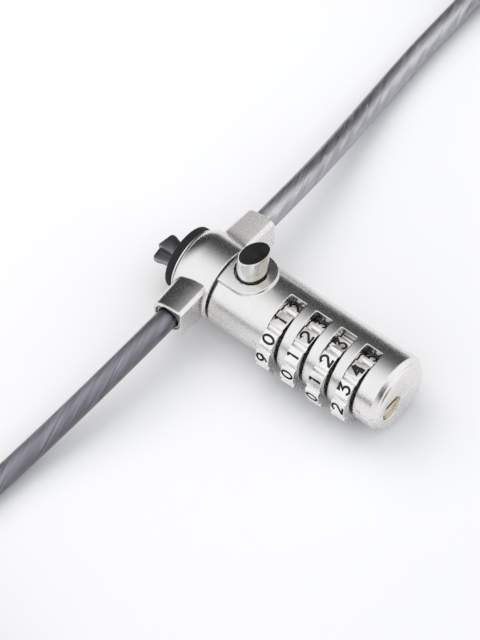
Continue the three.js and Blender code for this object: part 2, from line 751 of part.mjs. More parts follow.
// An eye of cable lying across the top of a coil, opened along X, on the side
// of the coil that lies further from the lock.
function endLoop({ centre: [cx, coilY], layers }, side) {
  const cy = coilY + side * CRIMP_OFFSET;
  const x0 = cx + CRIMP_START + CRIMP_LENGTH + GAP;
  const half = [
    [0, STRAND_Y],
    [3, STRAND_Y],
    [7, STRAND_Y + 1.6],
    [13, EYE_HALF_WIDTH - 1.4],
    [20, EYE_HALF_WIDTH],
    [27, EYE_HALF_WIDTH - 1.3],
    [EYE_LENGTH - 4.2, EYE_HALF_WIDTH - 5.2],
  ];
  const turned = half.map(([x, y]) => [x, -y]).reverse();
  const points = [...half, [EYE_LENGTH - CABLE_D / 2, 0], ...turned];
  const z = eyeHeight(layers);
  return rope(smoothCurve(points.map(([x, y]) => [x0 + x, cy + y, z])), CABLE_D / 2 - 0.1, 26, 8);
}

function loopCrimp({ centre: [cx, coilY], layers }, side) {
  const cy = coilY + side * CRIMP_OFFSET;
  const [x0, x1] = [cx + CRIMP_START, cx + CRIMP_START + CRIMP_LENGTH];
  const z = eyeHeight(layers);
  return joined(
    barX(CRIMP_R, x0, x1, cy - STRAND_Y, z, 20),
    barX(CRIMP_R, x0, x1, cy + STRAND_Y, z, 20),
    box(x0, x1, cy - STRAND_Y, cy + STRAND_Y, z - CRIMP_R, z + CRIMP_R),
  );
}

// A flat strap round the side of a coil that lies furthest from the lock.
function coilTie({ centre: [cx, cy], layers }, side) {
  const half = 5;
  const wall = 0.9;
  const inner = Math.sqrt(COIL_IN_R ** 2 - half ** 2) - 1.2 * GAP;
  const outer = COIL_OUT_R + GAP;
  const [z0, z1] = [FLOOR_Z + 0.02, FLOOR_Z + layers * CABLE_D + GAP];
  const across = (r0, r1, low, high) => {
    const [y0, y1] = [cy + side * r0, cy + side * r1];
    return box(cx - half, cx + half, Math.min(y0, y1), Math.max(y0, y1), low, high);
  };
  return joined(
    across(inner - wall, outer + wall, z1, z1 + wall),
    across(outer, outer + wall, z0, z1 + wall),
    across(inner - wall, inner, z0, z1 + wall),
  );
}

function addCable(name, side) {
  const coil = COILS[name];
  place(`ferrule_${name}`, ferrule(side), STEEL);
  place(`cable_${name}`, rope(smoothCurve(ROUTES[name]), CABLE_D / 2, 18, 10), CABLE);
  place(`cable_${name}_coil`, storageCoil(coil), CABLE);
  place(`cable_${name}_tie`, coilTie(coil, side), STRAP);
  place(`cable_${name}_crimp`, loopCrimp(coil, side), STEEL);
  place(`cable_${name}_loop`, endLoop(coil, side), CABLE);
}

// ------------------------------------------------------------------- assembly

addBarrel();
place('nose_core', noseCore(), SATIN_NICKEL);
place('rubber_washer', rubberWasher(), RUBBER);
place('swivel_collar', swivelCollar(), SATIN_NICKEL);
addFingers();
place('locking_spindle', spindle(), STEEL);
place('drive_pin', barZ(0.6, -2.08, 2.08, DRIVE_X, HOOK_Y, 16), STEEL);
place('push_button', pushButton(), CHROME);
place('button_bushing', buttonBushing(), SATIN_NICKEL);
addWheels();
addSprings();
place('reset_screw', resetScrew(), BRASS);
place('rear_bearing', rearBearing(), BRASS);
addCable('near', -1);
addCable('far', 1);

const FINGER_REACH = PIVOT_X - 11;
lock.position.set(-(FINGER_REACH + BARREL_END) / 2, 0, -FLOOR_Z);

const model = new THREE.Group();
model.add(lock);

export default model;
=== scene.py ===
"""Looks for a laptop cable lock: a barrel with number wheels, a push button,
a swivelling cable collar and two hook fingers, with a coated cable each side.

Pieces are drawn in millimetres in the lock frame: X along the barrel axis from
the hook fingers (-X) to the reset end, the reading side at -Y, the button at
+Z, and the origin on the barrel axis under the button. TO_ROW scales them to
metres and moves them into the row frame.
"""

import math

import bmesh
import bpy
from mathutils import Matrix, Quaternion, Vector


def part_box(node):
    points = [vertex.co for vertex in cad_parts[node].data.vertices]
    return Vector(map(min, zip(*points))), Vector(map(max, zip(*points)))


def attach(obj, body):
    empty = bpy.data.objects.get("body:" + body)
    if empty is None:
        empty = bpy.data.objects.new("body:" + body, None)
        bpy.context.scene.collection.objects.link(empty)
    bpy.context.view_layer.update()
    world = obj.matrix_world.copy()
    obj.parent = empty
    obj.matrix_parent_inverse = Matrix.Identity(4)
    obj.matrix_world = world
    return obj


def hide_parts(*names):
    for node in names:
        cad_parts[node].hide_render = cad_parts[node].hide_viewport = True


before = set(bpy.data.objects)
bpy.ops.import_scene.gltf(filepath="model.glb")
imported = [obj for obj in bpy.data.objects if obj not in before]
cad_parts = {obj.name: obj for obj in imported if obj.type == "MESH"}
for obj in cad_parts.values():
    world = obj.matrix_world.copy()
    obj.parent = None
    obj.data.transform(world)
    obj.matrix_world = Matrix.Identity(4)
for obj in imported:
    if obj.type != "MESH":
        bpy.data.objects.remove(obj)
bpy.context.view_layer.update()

# ------------------------------------------------------------------ dimensions

MM = 0.001

# Cast pieces
CAST_CELL = 0.14
CAST_SMOOTH_DEG = 75

# Barrel
BARREL_R = 9.0
BARREL_FRONT = -3.8
BARREL_END = 42.4
FRONT_CHAMFER = (0.45, 0.35)
END_STEP_FROM = 40.45
END_STEP_TO = 40.75
END_STEP = 0.2
END_ROUND_FROM = 41.5
END_ROUND_R = 8.1
END_FACE_R = 6.8
SHELL_SEAM = 0.03
BOSS_R = 5.8
BOSS_TOP = 9.6
BOSS_ROOT_Z = 2
BOSS_CROWN_R = 15
SOCKET_R = 7.1
SOCKET_DEPTH = 2.2
SLEEVE_BORE_R = 4.3
SLEEVE_BORE_FROM = 5.3
SLEEVE_BORE_TO = 40.0
SPRING_BORE_R = 2.0
RESET_HOLE_R = 2.9
RESET_FACE_X = 41.5
DOT_R = 0.55
DOT_DEPTH = 0.35
DOT_XS = (9.3, 37.6)
DOT_Z = 0.6
BALL_BORE_R = 0.95
BALL_BORE_FROM = 4.6
BALL_BORE_TO = 8.4
PIN_HOLE_R = 0.83
DOWEL_HALF_LENGTH = 4.1
DOWEL_PLACES = ((8.2, 5), (38.6, 4.4))

# Wheels
WHEEL_Y = -3.24
WHEEL_Z = -0.41
WHEEL_XS = (13.3, 20.14, 26.98, 33.82)
WHEEL_TIP_R = 8.2
WHEEL_WIDTH = 3.5
WHEEL_BORE_R = 4.2
REST_PHASE_DEG = (8.5, 8.5, 22.5, 8.5)
DIGIT_UNDER_PHASE = (1, 2, 2, 4)
SLOT_AHEAD = 1.92
SLOT_BEHIND = 2.35
SLOT_R = 8.6
WINDOW_BACK_Y = 1.45
WINDOW_FLOOR_Z = 0.5
FLAT_HALF_DEG = 12.5
NOTCH_R = 7.65
NOTCH_FROM_DEG = 15.4
NOTCH_TO_DEG = 20.6
KEY_SLOT_HALF = 0.75
KEY_SLOT_R = 5.1
DIGIT_STEP_DEG = 36
ENGRAVED_R = 7.73
STROKE = 0.56
DIGIT_SCALE = 1.12
DIGIT_HALF_WIDTH = 1.35
DIGIT_HALF_HEIGHT = 1.6

# Button
BUTTON_X = 1.0
BUTTON_Y = 0.7
BUTTON_R = 3.4
BUTTON_FLANGE_R = 3.65
BUTTON_FLANGE_TOP = 8.15
BUTTON_FLANGE_FLOOR = 7.1
BUTTON_BORE_R = 3.8
BUTTON_RISE = 6.0
BUTTON_SLANT = 0.5
BUTTON_SLANT_TURN = 22
BUTTON_LEAN = (0.075, 0.055)
BUTTON_RIM = 0.4

# Collar, lugs and nose
COLLAR_REAR = -4.4
COLLAR_FRONT = -14.3
COLLAR_R = 9.0
COLLAR_REAR_CHAMFER = 0.2
COLLAR_ROUND_FROM = -11.2
COLLAR_FACE_R = 7.6
COLLAR_BORE_R = 6.7
NOSE_R = 6.4
NOSE_CAVITY_R = 5.3
NOSE_FRONT = -14.9
NOSE_RIM_R = 7.65
NOSE_RIM = 0.4
WASHER_R = 7.55
WASHER_FRONT = -16.9
WASHER_HOLE_R = 4.2
LUG_FACE_X = -5.0
CABLE_X = -8.9
CABLE_Z = 1.3
LUG_REACH = 16.0
LUG_HALF_HEIGHT = 4.6
LUG_FRONT_X = -13.2
LUG_ROUND_R = 2.6
LUG_ROUND_FROM = 107
LUG_CROWN_X = -6.5
LUG_CROWN_R = 16
LUG_CHAMFER = 0.75
LUG_TAPER = 0.92
LUG_BORE_R = 3.35
FERRULE_R = 3.05
FERRULE_BORE_R = 2.85

# Fingers
HOOK_Y = -1.4
PIVOT_X = -12.0
PIVOT_HOLE_R = 0.87
HOOK_TIP = 10.8
HOOK_THICK = 1.2
HOOK_GAP = 0.06
HOOK_SPREAD_DEG = 8
HOOK_OUTLINE = (
    (6.2, -1.9),
    (6.2, 2.3),
    (2.0, 2.1),
    (0.5, 1.7),
    (-6.6, 1.7),
    (-8.2, 1.78),
    (-9.6, 2.05),
    (-10.3, 1.95),
    (-10.68, 1.7),
    (-HOOK_TIP, 1.35),
    (-HOOK_TIP, -2.2),
    (-7.6, -1.7),
    (0, -1.7),
)
HOOK_EDGE = 0.12
DRIVE_SLOT = ((4.95, 0.7), (2.8, 0))
DRIVE_SLOT_R = 0.85

# Cables
CABLE_D = 5.0
WIRES_ROUND = 40
FLOOR_Z = -BARREL_R

# Coils, their straps and the crimped eyes on top of them; COIL_MIDDLE is the height
# above the table of the lowest layer's middle line
COIL_MIDDLE = 2.6
COIL_RADII = (27.5, 22.5)
COIL_ENTRY_DEG = 150
COIL_HOLD_DEG = 260
COIL_SHIFT_DEG = 50
TAIL_RISE_DEG = 80
TAIL_LEAVES_DEG = 175
TAIL_BEND_R = 15.0
TAIL_BEND_AT = (-12.45, 1.09)
TAIL_LIFT = 1
STRAP_HALF_WIDTH = 5.0
STRAP_WALL = 0.9
STRAP_INNER = 18.945
STRAP_OUTER = 30.35
STRAP_GAP = 0.35
CRIMP_R = 3.3
CRIMP_LENGTH = 12.0
CRIMP_START = -12.0
CRIMP_OFFSET = 11.3
STRAND_Y = 2.6
EYE_SHIFT = 0.35
EYE_HALF = ((0, 2.6), (3, 2.6), (7, 4.2), (13, 8.4), (20, 9.8), (27, 8.5), (30.8, 4.6), (32.5, 0))

# Centre, layers, and the side of the lock that each coil lies on.
COILS = {
    "near": ((-1, -139), 4, -1),
    "far": ((-1, 138), 2, 1),
}

# Middle line of each cable from inside its ferrule to its coil.
ROUTES = {
    "near": (
        (-8.9, -10.4, 1.3),
        (-8.9, -17, 1.3),
        (-9.04, -24, 1),
        (-9.56, -32, 0),
        (-10.35, -40, -1.5),
        (-11.24, -48, -3.1),
        (-12.18, -56, -4.6),
        (-13.01, -64, -5.7),
        (-13.65, -72, -6.25),
        (-14.1, -81, -6.4),
        (-14.3, -90, -6.4),
        (-14.7, -99.5, -6.4),
        (-15.8, -109.2, -6.4),
    ),
    "far": (
        (-8.9, 10.4, 1.3),
        (-8.9, 17, 1.3),
        (-9.04, 24, 1),
        (-9.56, 32, 0),
        (-10.45, 40, -1.5),
        (-11.54, 48, -3.1),
        (-12.68, 56, -4.6),
        (-13.71, 64, -5.7),
        (-14.45, 72, -6.25),
        (-15, 81, -6.4),
        (-15.2, 90, -6.4),
        (-15.4, 99, -6.4),
        (-16.1, 108, -6.4),
    ),
}

# The lock frame's origin in the row frame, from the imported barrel.
PACKED_END_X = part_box("barrel_upper_shell")[1].x
PACKED_LOW_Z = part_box("barrel_lower_shell")[0].z
LOCK_ORIGIN = Vector((PACKED_END_X - BARREL_END * MM, 0, PACKED_LOW_Z + BARREL_R * MM))
TO_ROW = Matrix.Translation(LOCK_ORIGIN) @ Matrix.Scale(MM, 4)


# --------------------------------------------------------------- mesh building


def link(name, mesh):
    obj = bpy.data.objects.new(name, mesh)
    bpy.context.scene.collection.objects.link(obj)
    return obj


def mesh_object(name, points, faces):
    mesh = bpy.data.meshes.new(name)
    mesh.from_pydata(points, [], faces)
    bm = bmesh.new()
    bm.from_mesh(mesh)
    bmesh.ops.recalc_face_normals(bm, faces=bm.faces)
    bm.to_mesh(mesh)
    bm.free()
    return link(name, mesh)


def skin(name, rings, closed=False):
    """A skin over rings of equal point counts, capped, or closed on itself."""
    count = len(rings[0])
    points = [p for ring in rings for p in ring]
    faces = []
    spans = len(rings) if closed else len(rings) - 1
    for k in range(spans):
        a, b = k * count, (k + 1) % len(rings) * count
        faces += [(a + i, a + (i + 1) % count, b + (i + 1) % count, b + i) for i in range(count)]
    if not closed:
        faces.append(tuple(reversed(range(count))))
        faces.append(tuple(range(len(points) - count, len(points))))
    return mesh_object(name, points, faces)


def circle(r, sides, start=0.0):
    turn = 2 * math.pi / sides
    return [(r * math.cos(start + i * turn), r * math.sin(start + i * turn)) for i in range(sides)]


def turned(axis, profile, c1=0.0, c2=0.0, sides=96, closed=False):
    """A profile of (place along the axis, radius) turned about the axis through (c1, c2)."""
    rings = []
    for along, r in profile:
        ring = circle(r, sides)
        if axis == "x":
            rings.append([(along, c1 + u, c2 + v) for u, v in ring])
        elif axis == "y":
            rings.append([(c1 + u, along, c2 + v) for u, v in ring])
        else:
            rings.append([(c1 + u, c2 + v, along) for u, v in ring])
    return skin("turned", rings, closed)


def bar(axis, r, a, b, c1=0.0, c2=0.0, sides=64):
    return turned(axis, ((a, r), (b, r)), c1, c2, sides)


def block(x0, x1, y0, y1, z0, z1):
    ring = [(y0, z0), (y1, z0), (y1, z1), (y0, z1)]
    return skin("block", [[(x, y, z) for y, z in ring] for x in (x0, x1)])


def plate(outline, z0, z1):
    return skin("plate", [[(x, y, z) for x, y in outline] for z in (z0, z1)])


def arc(cx, cy, r, start, end, steps):
    turns = [math.radians(start + (end - start) * i / steps) for i in range(steps + 1)]
    return [(cx + r * math.cos(t), cy + r * math.sin(t)) for t in turns]


def evaluated(obj):
    """Applies every modifier of a working object."""
    graph = bpy.context.evaluated_depsgraph_get()
    mesh = bpy.data.meshes.new_from_object(obj.evaluated_get(graph))
    obj.modifiers.clear()
    obj.data = mesh
    return obj


def combined(base, tools, operation):
    for tool in tools:
        step = base.modifiers.new("combine", "BOOLEAN")
        step.operation = operation
        step.object = tool
        step.solver = "MANIFOLD"
    evaluated(base)
    for tool in tools:
        bpy.data.objects.remove(tool)
    return base


def joined(base, *tools):
    return combined(base, tools, "UNION")


def cut(base, *tools):
    return combined(base, tools, "DIFFERENCE")


def cast(obj, cell, rounds, keep):
    """Rounds every edge and corner a little, as a casting's are."""
    remesh = obj.modifiers.new("remesh", "REMESH")
    remesh.mode = "VOXEL"
    remesh.voxel_size = cell
    soften = obj.modifiers.new("soften", "SMOOTH")
    soften.factor = 0.5
    soften.iterations = rounds
    thin = obj.modifiers.new("thin", "DECIMATE")
    thin.ratio = keep
    return evaluated(obj)


def bevelled(obj, width, angle, segments=2):
    edge = obj.modifiers.new("bevel", "BEVEL")
    edge.width = width
    edge.segments = segments
    edge.angle_limit = math.radians(angle)
    return evaluated(obj)


def piece(obj, name, body, materials, replaces=(), smooth_deg=40):
    """Moves a finished object into the row frame, gives it its materials, parents it to its body's
    empty and hides the CAD nodes it replaces.
    """
    obj.name = name
    obj.data.name = name
    obj.data.transform(TO_ROW)
    obj.data.shade_smooth()
    obj.data.set_sharp_from_angle(angle=math.radians(smooth_deg))
    obj.data.materials.clear()
    for material in materials:
        obj.data.materials.append(material)
    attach(obj, body)
    if replaces:
        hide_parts(*replaces)
    return obj


# ------------------------------------------------------------------- materials

# Object coordinates are in metres, so a noise of scale 1000 has grains of about 1 mm.


class Look:
    """A Principled material with helpers to build its nodes."""

    def __init__(self, name, **values):
        self.material = bpy.data.materials.new(name)
        self.material.use_nodes = True
        self.nodes = self.material.node_tree.nodes
        self.links = self.material.node_tree.links
        self.shader = self.nodes["Principled BSDF"]
        for socket, value in values.items():
            self.shader.inputs[socket.replace("_", " ")].default_value = value

    def node(self, kind, **values):
        node = self.nodes.new("ShaderNode" + kind)
        for socket, value in values.items():
            node.inputs[socket].default_value = value
        return node

    def coordinates(self, stretch=(1, 1, 1), output="Object"):
        source = self.nodes.new("ShaderNodeTexCoord")
        scale = self.node("Mapping")
        scale.inputs["Scale"].default_value = stretch
        self.links.new(source.outputs[output], scale.inputs["Vector"])
        return scale.outputs["Vector"]

    def noise(self, scale, detail=3.0, stretch=(1, 1, 1), output="Object", roughness=0.5):
        texture = self.node("TexNoise", Scale=scale, Detail=detail, Roughness=roughness)
        self.links.new(self.coordinates(stretch, output), texture.inputs["Vector"])
        return texture.outputs["Fac"]

    def ramp(self, source, low, high, start=0.3, end=0.7):
        """Colours (or greys) spread over part of a 0 to 1 source."""
        node = self.node("ValToRGB")
        first, last = node.color_ramp.elements
        first.position, last.position = start, end
        first.color = low if isinstance(low, tuple) else (low, low, low, 1)
        last.color = high if isinstance(high, tuple) else (high, high, high, 1)
        self.links.new(source, node.inputs["Fac"])
        return node.outputs["Color"]

    def drive(self, socket, source):
        self.links.new(source, self.shader.inputs[socket])

    def bump(self, source, distance, strength=1.0, after=None):
        node = self.node("Bump", Strength=strength, Distance=distance)
        self.links.new(source, node.inputs["Height"])
        if after:
            self.links.new(after, node.inputs["Normal"])
        self.drive("Normal", node.outputs["Normal"])
        return node.outputs["Normal"]


def satin_nickel(name, tint, rough, metallic=1.0):
    look = Look(name, Metallic=metallic)
    patches = look.noise(320, 4)
    light = tuple(1.04 * c for c in tint)
    look.drive("Base Color", look.ramp(patches, (*tint, 1), (*light, 1)))
    grain = look.noise(2700, 3, roughness=0.7)
    look.drive("Roughness", look.ramp(grain, rough - 0.05, rough + 0.07))
    dimple = look.bump(look.noise(900, 3), 0.00001, 0.3)
    look.bump(grain, 0.000012, 0.45, dimple)
    return look


def painted_light_far_lug(look):
    """Painted light: less mirror, more matt white, on the lug of the far cable, so that it shows
    lighter than the near lug.
    """
    along = look.node("SeparateXYZ")
    look.links.new(look.coordinates((50, 50, 50)), along.inputs["Vector"])
    # painted light: metallic falls from 1.0 to 0.5 towards the far lug
    look.drive("Metallic", look.ramp(along.outputs["Y"], 1.0, 0.5, 0.3, 0.45))
    return look.material


def polished_chrome():
    look = Look("chrome", Metallic=1.0)
    # random brownish patches, stretched upright, over the chrome's silver colour
    tint_patches = look.noise(240, 2, stretch=(1, 1, 0.1))
    brownish, silver = (0.5, 0.48, 0.4, 1), (0.88, 0.88, 0.89, 1)
    look.drive("Base Color", look.ramp(tint_patches, brownish, silver, 0.38, 0.6))
    wear = look.noise(2600, 4, stretch=(1, 1, 0.15))
    look.drive("Roughness", look.ramp(wear, 0.03, 0.09))
    look.bump(look.noise(300, 2), 0.000004, 0.25)
    return look.material


def dark_steel():
    look = Look("dark_steel", Metallic=1.0)
    rolled = look.noise(1500, 4, stretch=(0.12, 1, 1))
    look.drive("Base Color", look.ramp(rolled, (0.23, 0.23, 0.245, 1), (0.36, 0.36, 0.37, 1)))
    look.drive("Roughness", look.ramp(look.noise(3500, 3), 0.3, 0.45))
    look.bump(rolled, 0.000008, 0.4)
    return look.material


def plain_steel(name, grey, rough):
    look = Look(name, Metallic=1.0)
    turned_lines = look.noise(2400, 3, stretch=(1, 0.2, 1))
    tone = (grey, grey, grey * 1.01, 1)
    look.drive("Base Color", look.ramp(turned_lines, tone, (grey + 0.08,) * 3 + (1,)))
    look.drive("Roughness", look.ramp(look.noise(4000, 2), rough - 0.05, rough + 0.08))
    look.bump(turned_lines, 0.000006, 0.3)
    return look.material


def turned_brass():
    look = Look("brass", Metallic=1.0)
    turning = look.noise(2600, 3, stretch=(0.2, 1, 1))
    look.drive("Base Color", look.ramp(turning, (0.66, 0.58, 0.4, 1), (0.8, 0.73, 0.55, 1)))
    look.drive("Roughness", look.ramp(turning, 0.22, 0.36))
    look.bump(turning, 0.000008, 0.4)
    return look.material


def moulded_rubber():
    look = Look("rubber", Specular_IOR_Level=0.2)
    speckle = look.noise(4200, 3, roughness=0.65)
    black, bloom = (0.008, 0.008, 0.009, 1), (0.034, 0.034, 0.037, 1)
    look.drive("Base Color", look.ramp(speckle, black, bloom))
    look.drive("Roughness", look.ramp(speckle, 0.6, 0.85))
    look.bump(speckle, 0.00003, 0.5)
    return look.material


def digit_ink():
    look = Look("digit_ink")
    brushed = look.noise(3500, 2)
    look.drive("Base Color", look.ramp(brushed, (0.006, 0.006, 0.007, 1), (0.02, 0.02, 0.021, 1)))
    look.drive("Roughness", look.ramp(brushed, 0.35, 0.6))
    look.bump(brushed, 0.00001, 0.3)
    return look.material


def laid_strands(name, dark, light):
    """Wires laid in strands: U is the same all along a wire."""
    look = Look(name, Metallic=1.0)
    wires = look.nodes.new("ShaderNodeTexWave")
    # A wave texture has scale * 20 / (2 pi) bands in one unit.
    wires.inputs["Scale"].default_value = 2 * math.pi * WIRES_ROUND / 20
    look.links.new(look.coordinates(output="UV"), wires.inputs["Vector"])
    streaks = look.noise(1.0, 3, stretch=(40, 3, 1), output="UV", roughness=0.6)
    mix = look.node("Mix", Factor=0.55)
    look.links.new(wires.outputs["Fac"], mix.inputs["A"])
    look.links.new(streaks, mix.inputs["B"])
    look.drive("Base Color", look.ramp(mix.outputs["Result"], dark, light, 0.34, 0.76))
    look.drive("Roughness", look.ramp(streaks, 0.14, 0.28))
    look.bump(wires.outputs["Fac"], 0.00006, 0.8)
    return look.material


def clear_jacket():
    look = Look("cable_jacket", Base_Color=(0.93, 0.93, 0.95, 1), IOR=1.5, Transmission_Weight=1.0)
    haze = look.noise(700, 3)
    look.drive("Roughness", look.ramp(haze, 0.03, 0.09))
    look.bump(look.noise(160, 2), 0.00002, 0.2)
    return look.material


def woven_strap():
    look = Look("woven_strap", Sheen_Weight=0.4)
    weave = look.nodes.new("ShaderNodeTexBrick")
    weave.inputs["Scale"].default_value = 2400
    weave.inputs["Color1"].default_value = (0.02, 0.02, 0.022, 1)
    weave.inputs["Color2"].default_value = (0.05, 0.05, 0.053, 1)
    weave.inputs["Mortar"].default_value = (0.004, 0.004, 0.004, 1)
    look.links.new(look.coordinates(), weave.inputs["Vector"])
    look.drive("Base Color", weave.outputs["Color"])
    look.drive("Roughness", look.ramp(look.noise(3000, 2), 0.75, 0.95))
    look.bump(weave.outputs["Fac"], 0.00005, -0.6)
    return look.material


NICKEL = satin_nickel("satin_nickel", (0.80, 0.78, 0.76), 0.26).material
# The collar's nickel carries a painted light: its far lug is less metallic, and so lighter.
COLLAR_NICKEL = painted_light_far_lug(satin_nickel("collar_nickel", (0.80, 0.78, 0.76), 0.26))
# Painted light: the wheels' nickel is lighter and less metallic than the barrel's, so that their
# flats show brighter than barrel surfaces facing the same way.
LIT_WHEEL_NICKEL = satin_nickel("wheel_nickel", (0.86, 0.84, 0.82), 0.25, 0.75).material
CHROME = polished_chrome()
DARK_STEEL = dark_steel()
STEEL = plain_steel("bright_steel", 0.62, 0.25)
SPRING_STEEL = plain_steel("spring_steel", 0.52, 0.3)
BRASS = turned_brass()
RUBBER = moulded_rubber()
INK = digit_ink()
# Painted light and shade: the near cable's strands are a much darker copy of the far cable's, for
# the dark reflection on the near cable and the lighter look of the far one.
STRANDS = {
    "near": laid_strands("strands_near_painted_shade", (0.01, 0.01, 0.02, 1), (0.62, 0.61, 0.68, 1)),
    "far": laid_strands("strands_far_painted_light", (0.42, 0.42, 0.44, 1), (0.84, 0.84, 0.87, 1)),
}
JACKET = clear_jacket()
STRAP = woven_strap()

# ---------------------------------------------------------------------- barrel


def rounded_step(x0, r0, x1, r1, steps):
    """A quarter round from (x0, r0), running along the axis, to (x1, r1)."""
    turns = [math.pi / 2 * i / steps for i in range(steps + 1)]
    return [(x0 + (x1 - x0) * math.sin(t), r1 + (r0 - r1) * math.cos(t)) for t in turns]


def barrel_blank():
    chamfer_length, chamfer_depth = FRONT_CHAMFER
    skin_profile = [
        (BARREL_FRONT, BARREL_R - chamfer_depth),
        (BARREL_FRONT + chamfer_length, BARREL_R),
        *rounded_step(END_STEP_FROM, BARREL_R, END_STEP_TO, BARREL_R - END_STEP, 3),
        *rounded_step(END_ROUND_FROM, END_ROUND_R, BARREL_END, END_FACE_R, 6),
    ]
    outline = [
        (BARREL_FRONT, BUTTON_Y - BOSS_R),
        *arc(BUTTON_X, BUTTON_Y, BOSS_R, -90, 90, 48),
        (BARREL_FRONT, BUTTON_Y + BOSS_R),
    ]
    boss = plate(outline, BOSS_ROOT_Z, BOSS_TOP + 1)
    past_boss, crown_z = 9, BOSS_TOP - BOSS_CROWN_R
    crown = bar("x", BOSS_CROWN_R, BARREL_FRONT - 1, past_boss, BUTTON_Y, crown_z, 480)
    combined(boss, [crown], "INTERSECT")
    return joined(turned("x", skin_profile, sides=160), boss)


def wheel_slot(x):
    x0, x1 = x - SLOT_AHEAD, x + SLOT_BEHIND
    outside = BARREL_R + 1
    round_part = bar("x", SLOT_R, x0, x1, WHEEL_Y, WHEEL_Z, 128)
    window = block(x0, x1, -outside, WINDOW_BACK_Y, WINDOW_FLOOR_Z, outside)
    return joined(round_part, window)


def barrel_cavities():
    web, spring_wall, bore_floor = 2.2, 4.3, 2.8
    return [
        *[wheel_slot(x) for x in WHEEL_XS],
        *[bar("y", BALL_BORE_R, BALL_BORE_FROM, BALL_BORE_TO, x, WHEEL_Z, 24) for x in WHEEL_XS],
        *[bar("y", DOT_R, -BARREL_R - 1, -BARREL_R + DOT_DEPTH, x, DOT_Z, 24) for x in DOT_XS],
        bar("x", SLEEVE_BORE_R, SLEEVE_BORE_FROM, SLEEVE_BORE_TO, WHEEL_Y, WHEEL_Z),
        bar("x", RESET_HOLE_R, SLEEVE_BORE_TO - 1, BARREL_END + 1, WHEEL_Y, WHEEL_Z),
        bar("x", SPRING_BORE_R, spring_wall - 1, SLEEVE_BORE_FROM + 1, WHEEL_Y, WHEEL_Z),
        bar("x", SOCKET_R, BARREL_FRONT - 1, BARREL_FRONT + SOCKET_DEPTH),
        block(BARREL_FRONT - 1, spring_wall, -5.1, 2.3, -2.6, web),
        bar("z", BUTTON_BORE_R, bore_floor, BOSS_TOP + 1, BUTTON_X, BUTTON_Y),
        block(-1.5, 2.3, -1.4, 1.75, web - 1, bore_floor + 1),
        *[bar("z", PIN_HOLE_R, -DOWEL_HALF_LENGTH, DOWEL_HALF_LENGTH, x, y, 24)
          for x, y in DOWEL_PLACES],
    ]


def add_barrel():
    upper = cut(barrel_blank(), *barrel_cavities())
    lower = link("lower", upper.data.copy())
    far = 60
    combined(upper, [block(-far, far, -far, far, SHELL_SEAM, far)], "INTERSECT")
    combined(lower, [block(-far, far, -far, far, -far, -SHELL_SEAM)], "INTERSECT")
    for half, obj in (("upper", upper), ("lower", lower)):
        cast(obj, CAST_CELL, 2, 0.34)
        piece(obj, f"{half}_casting", "barrel", [NICKEL],
              [f"barrel_{half}_shell"], CAST_SMOOTH_DEG)


# ---------------------------------------------------------------- collar, nose


def lug_section(taper):
    """Section of a lug about the cable: crowned above and below."""
    h = LUG_HALF_HEIGHT * taper
    face_draft = 0.25
    face = LUG_FACE_X - face_draft * (1 - taper)
    bend = CABLE_X + (LUG_FRONT_X - CABLE_X) * taper + LUG_ROUND_R
    turn = math.radians(LUG_ROUND_FROM)
    start, shoulder = face - LUG_CHAMFER, bend + LUG_ROUND_R * math.cos(turn)

    def crown(x):
        return h - (x - LUG_CROWN_X) ** 2 / (2 * LUG_CROWN_R)

    bend_z = crown(shoulder) - LUG_ROUND_R * math.sin(turn)
    steps = [start + (shoulder - start) * i / 12 for i in range(12)]
    upper = [
        (face, h - LUG_CHAMFER),
        *[(x, crown(x)) for x in steps],
        *arc(bend, bend_z, LUG_ROUND_R, LUG_ROUND_FROM, 180, 14),
    ]
    lower = [(x, -z) for x, z in reversed(upper[:-1])]
    return [(x, CABLE_Z + z) for x, z in upper + lower]


def lug(side):
    levels = (
        (4.2, 1),
        (9, 0.985),
        (LUG_REACH - 0.35, LUG_TAPER),
        (LUG_REACH, LUG_TAPER * 0.965),
    )
    return skin("lug", [[(x, side * y, z) for x, z in lug_section(t)] for y, t in levels])


def lug_bore(side, r, inner, outer):
    return bar("y", r, *sorted((side * inner, side * outer)), CABLE_X, CABLE_Z)


def add_collar():
    shell = turned("x", [
        (COLLAR_REAR, COLLAR_R - COLLAR_REAR_CHAMFER),
        (COLLAR_REAR - COLLAR_REAR_CHAMFER, COLLAR_R),
        *rounded_step(COLLAR_ROUND_FROM, COLLAR_R, COLLAR_FRONT, COLLAR_FACE_R, 10),
    ], sides=160)
    mouth_depth, root = 1.1, 8
    body = cut(
        joined(shell, lug(1), lug(-1)),
        bar("x", COLLAR_BORE_R, COLLAR_FRONT - 1, COLLAR_REAR + 1, sides=96),
        *[lug_bore(side, LUG_BORE_R, LUG_REACH - mouth_depth, LUG_REACH + 1) for side in (1, -1)],
        *[lug_bore(side, FERRULE_R + 0.02, root, LUG_REACH) for side in (1, -1)],
    )
    cast(body, CAST_CELL, 3, 0.4)
    piece(body, "collar_casting", "collar", [COLLAR_NICKEL],
          ["swivel_collar"], CAST_SMOOTH_DEG)


def add_ferrules():
    root, mouth, cable_start = 8.1, 15.6, 10.05
    for name, side in (("near", -1), ("far", 1)):
        profile = [
            (root, 0.2),
            (root, FERRULE_R - 0.1),
            (root + 0.1, FERRULE_R),
            (mouth - 0.15, FERRULE_R),
            (mouth, FERRULE_R - 0.08),
            (mouth, FERRULE_BORE_R - 0.06),
            (mouth - 0.2, FERRULE_BORE_R - 0.14),
            (mouth - 0.45, FERRULE_BORE_R - 0.14),
            (mouth - 0.8, FERRULE_BORE_R),
            (cable_start, FERRULE_BORE_R),
            (cable_start, 0.2),
        ]
        tube = turned("y", [(side * y, r) for y, r in profile], CABLE_X, CABLE_Z, 72)
        piece(tube, f"ferrule_sleeve_{name}", "collar", [STEEL],
              [f"ferrule_{name}"])


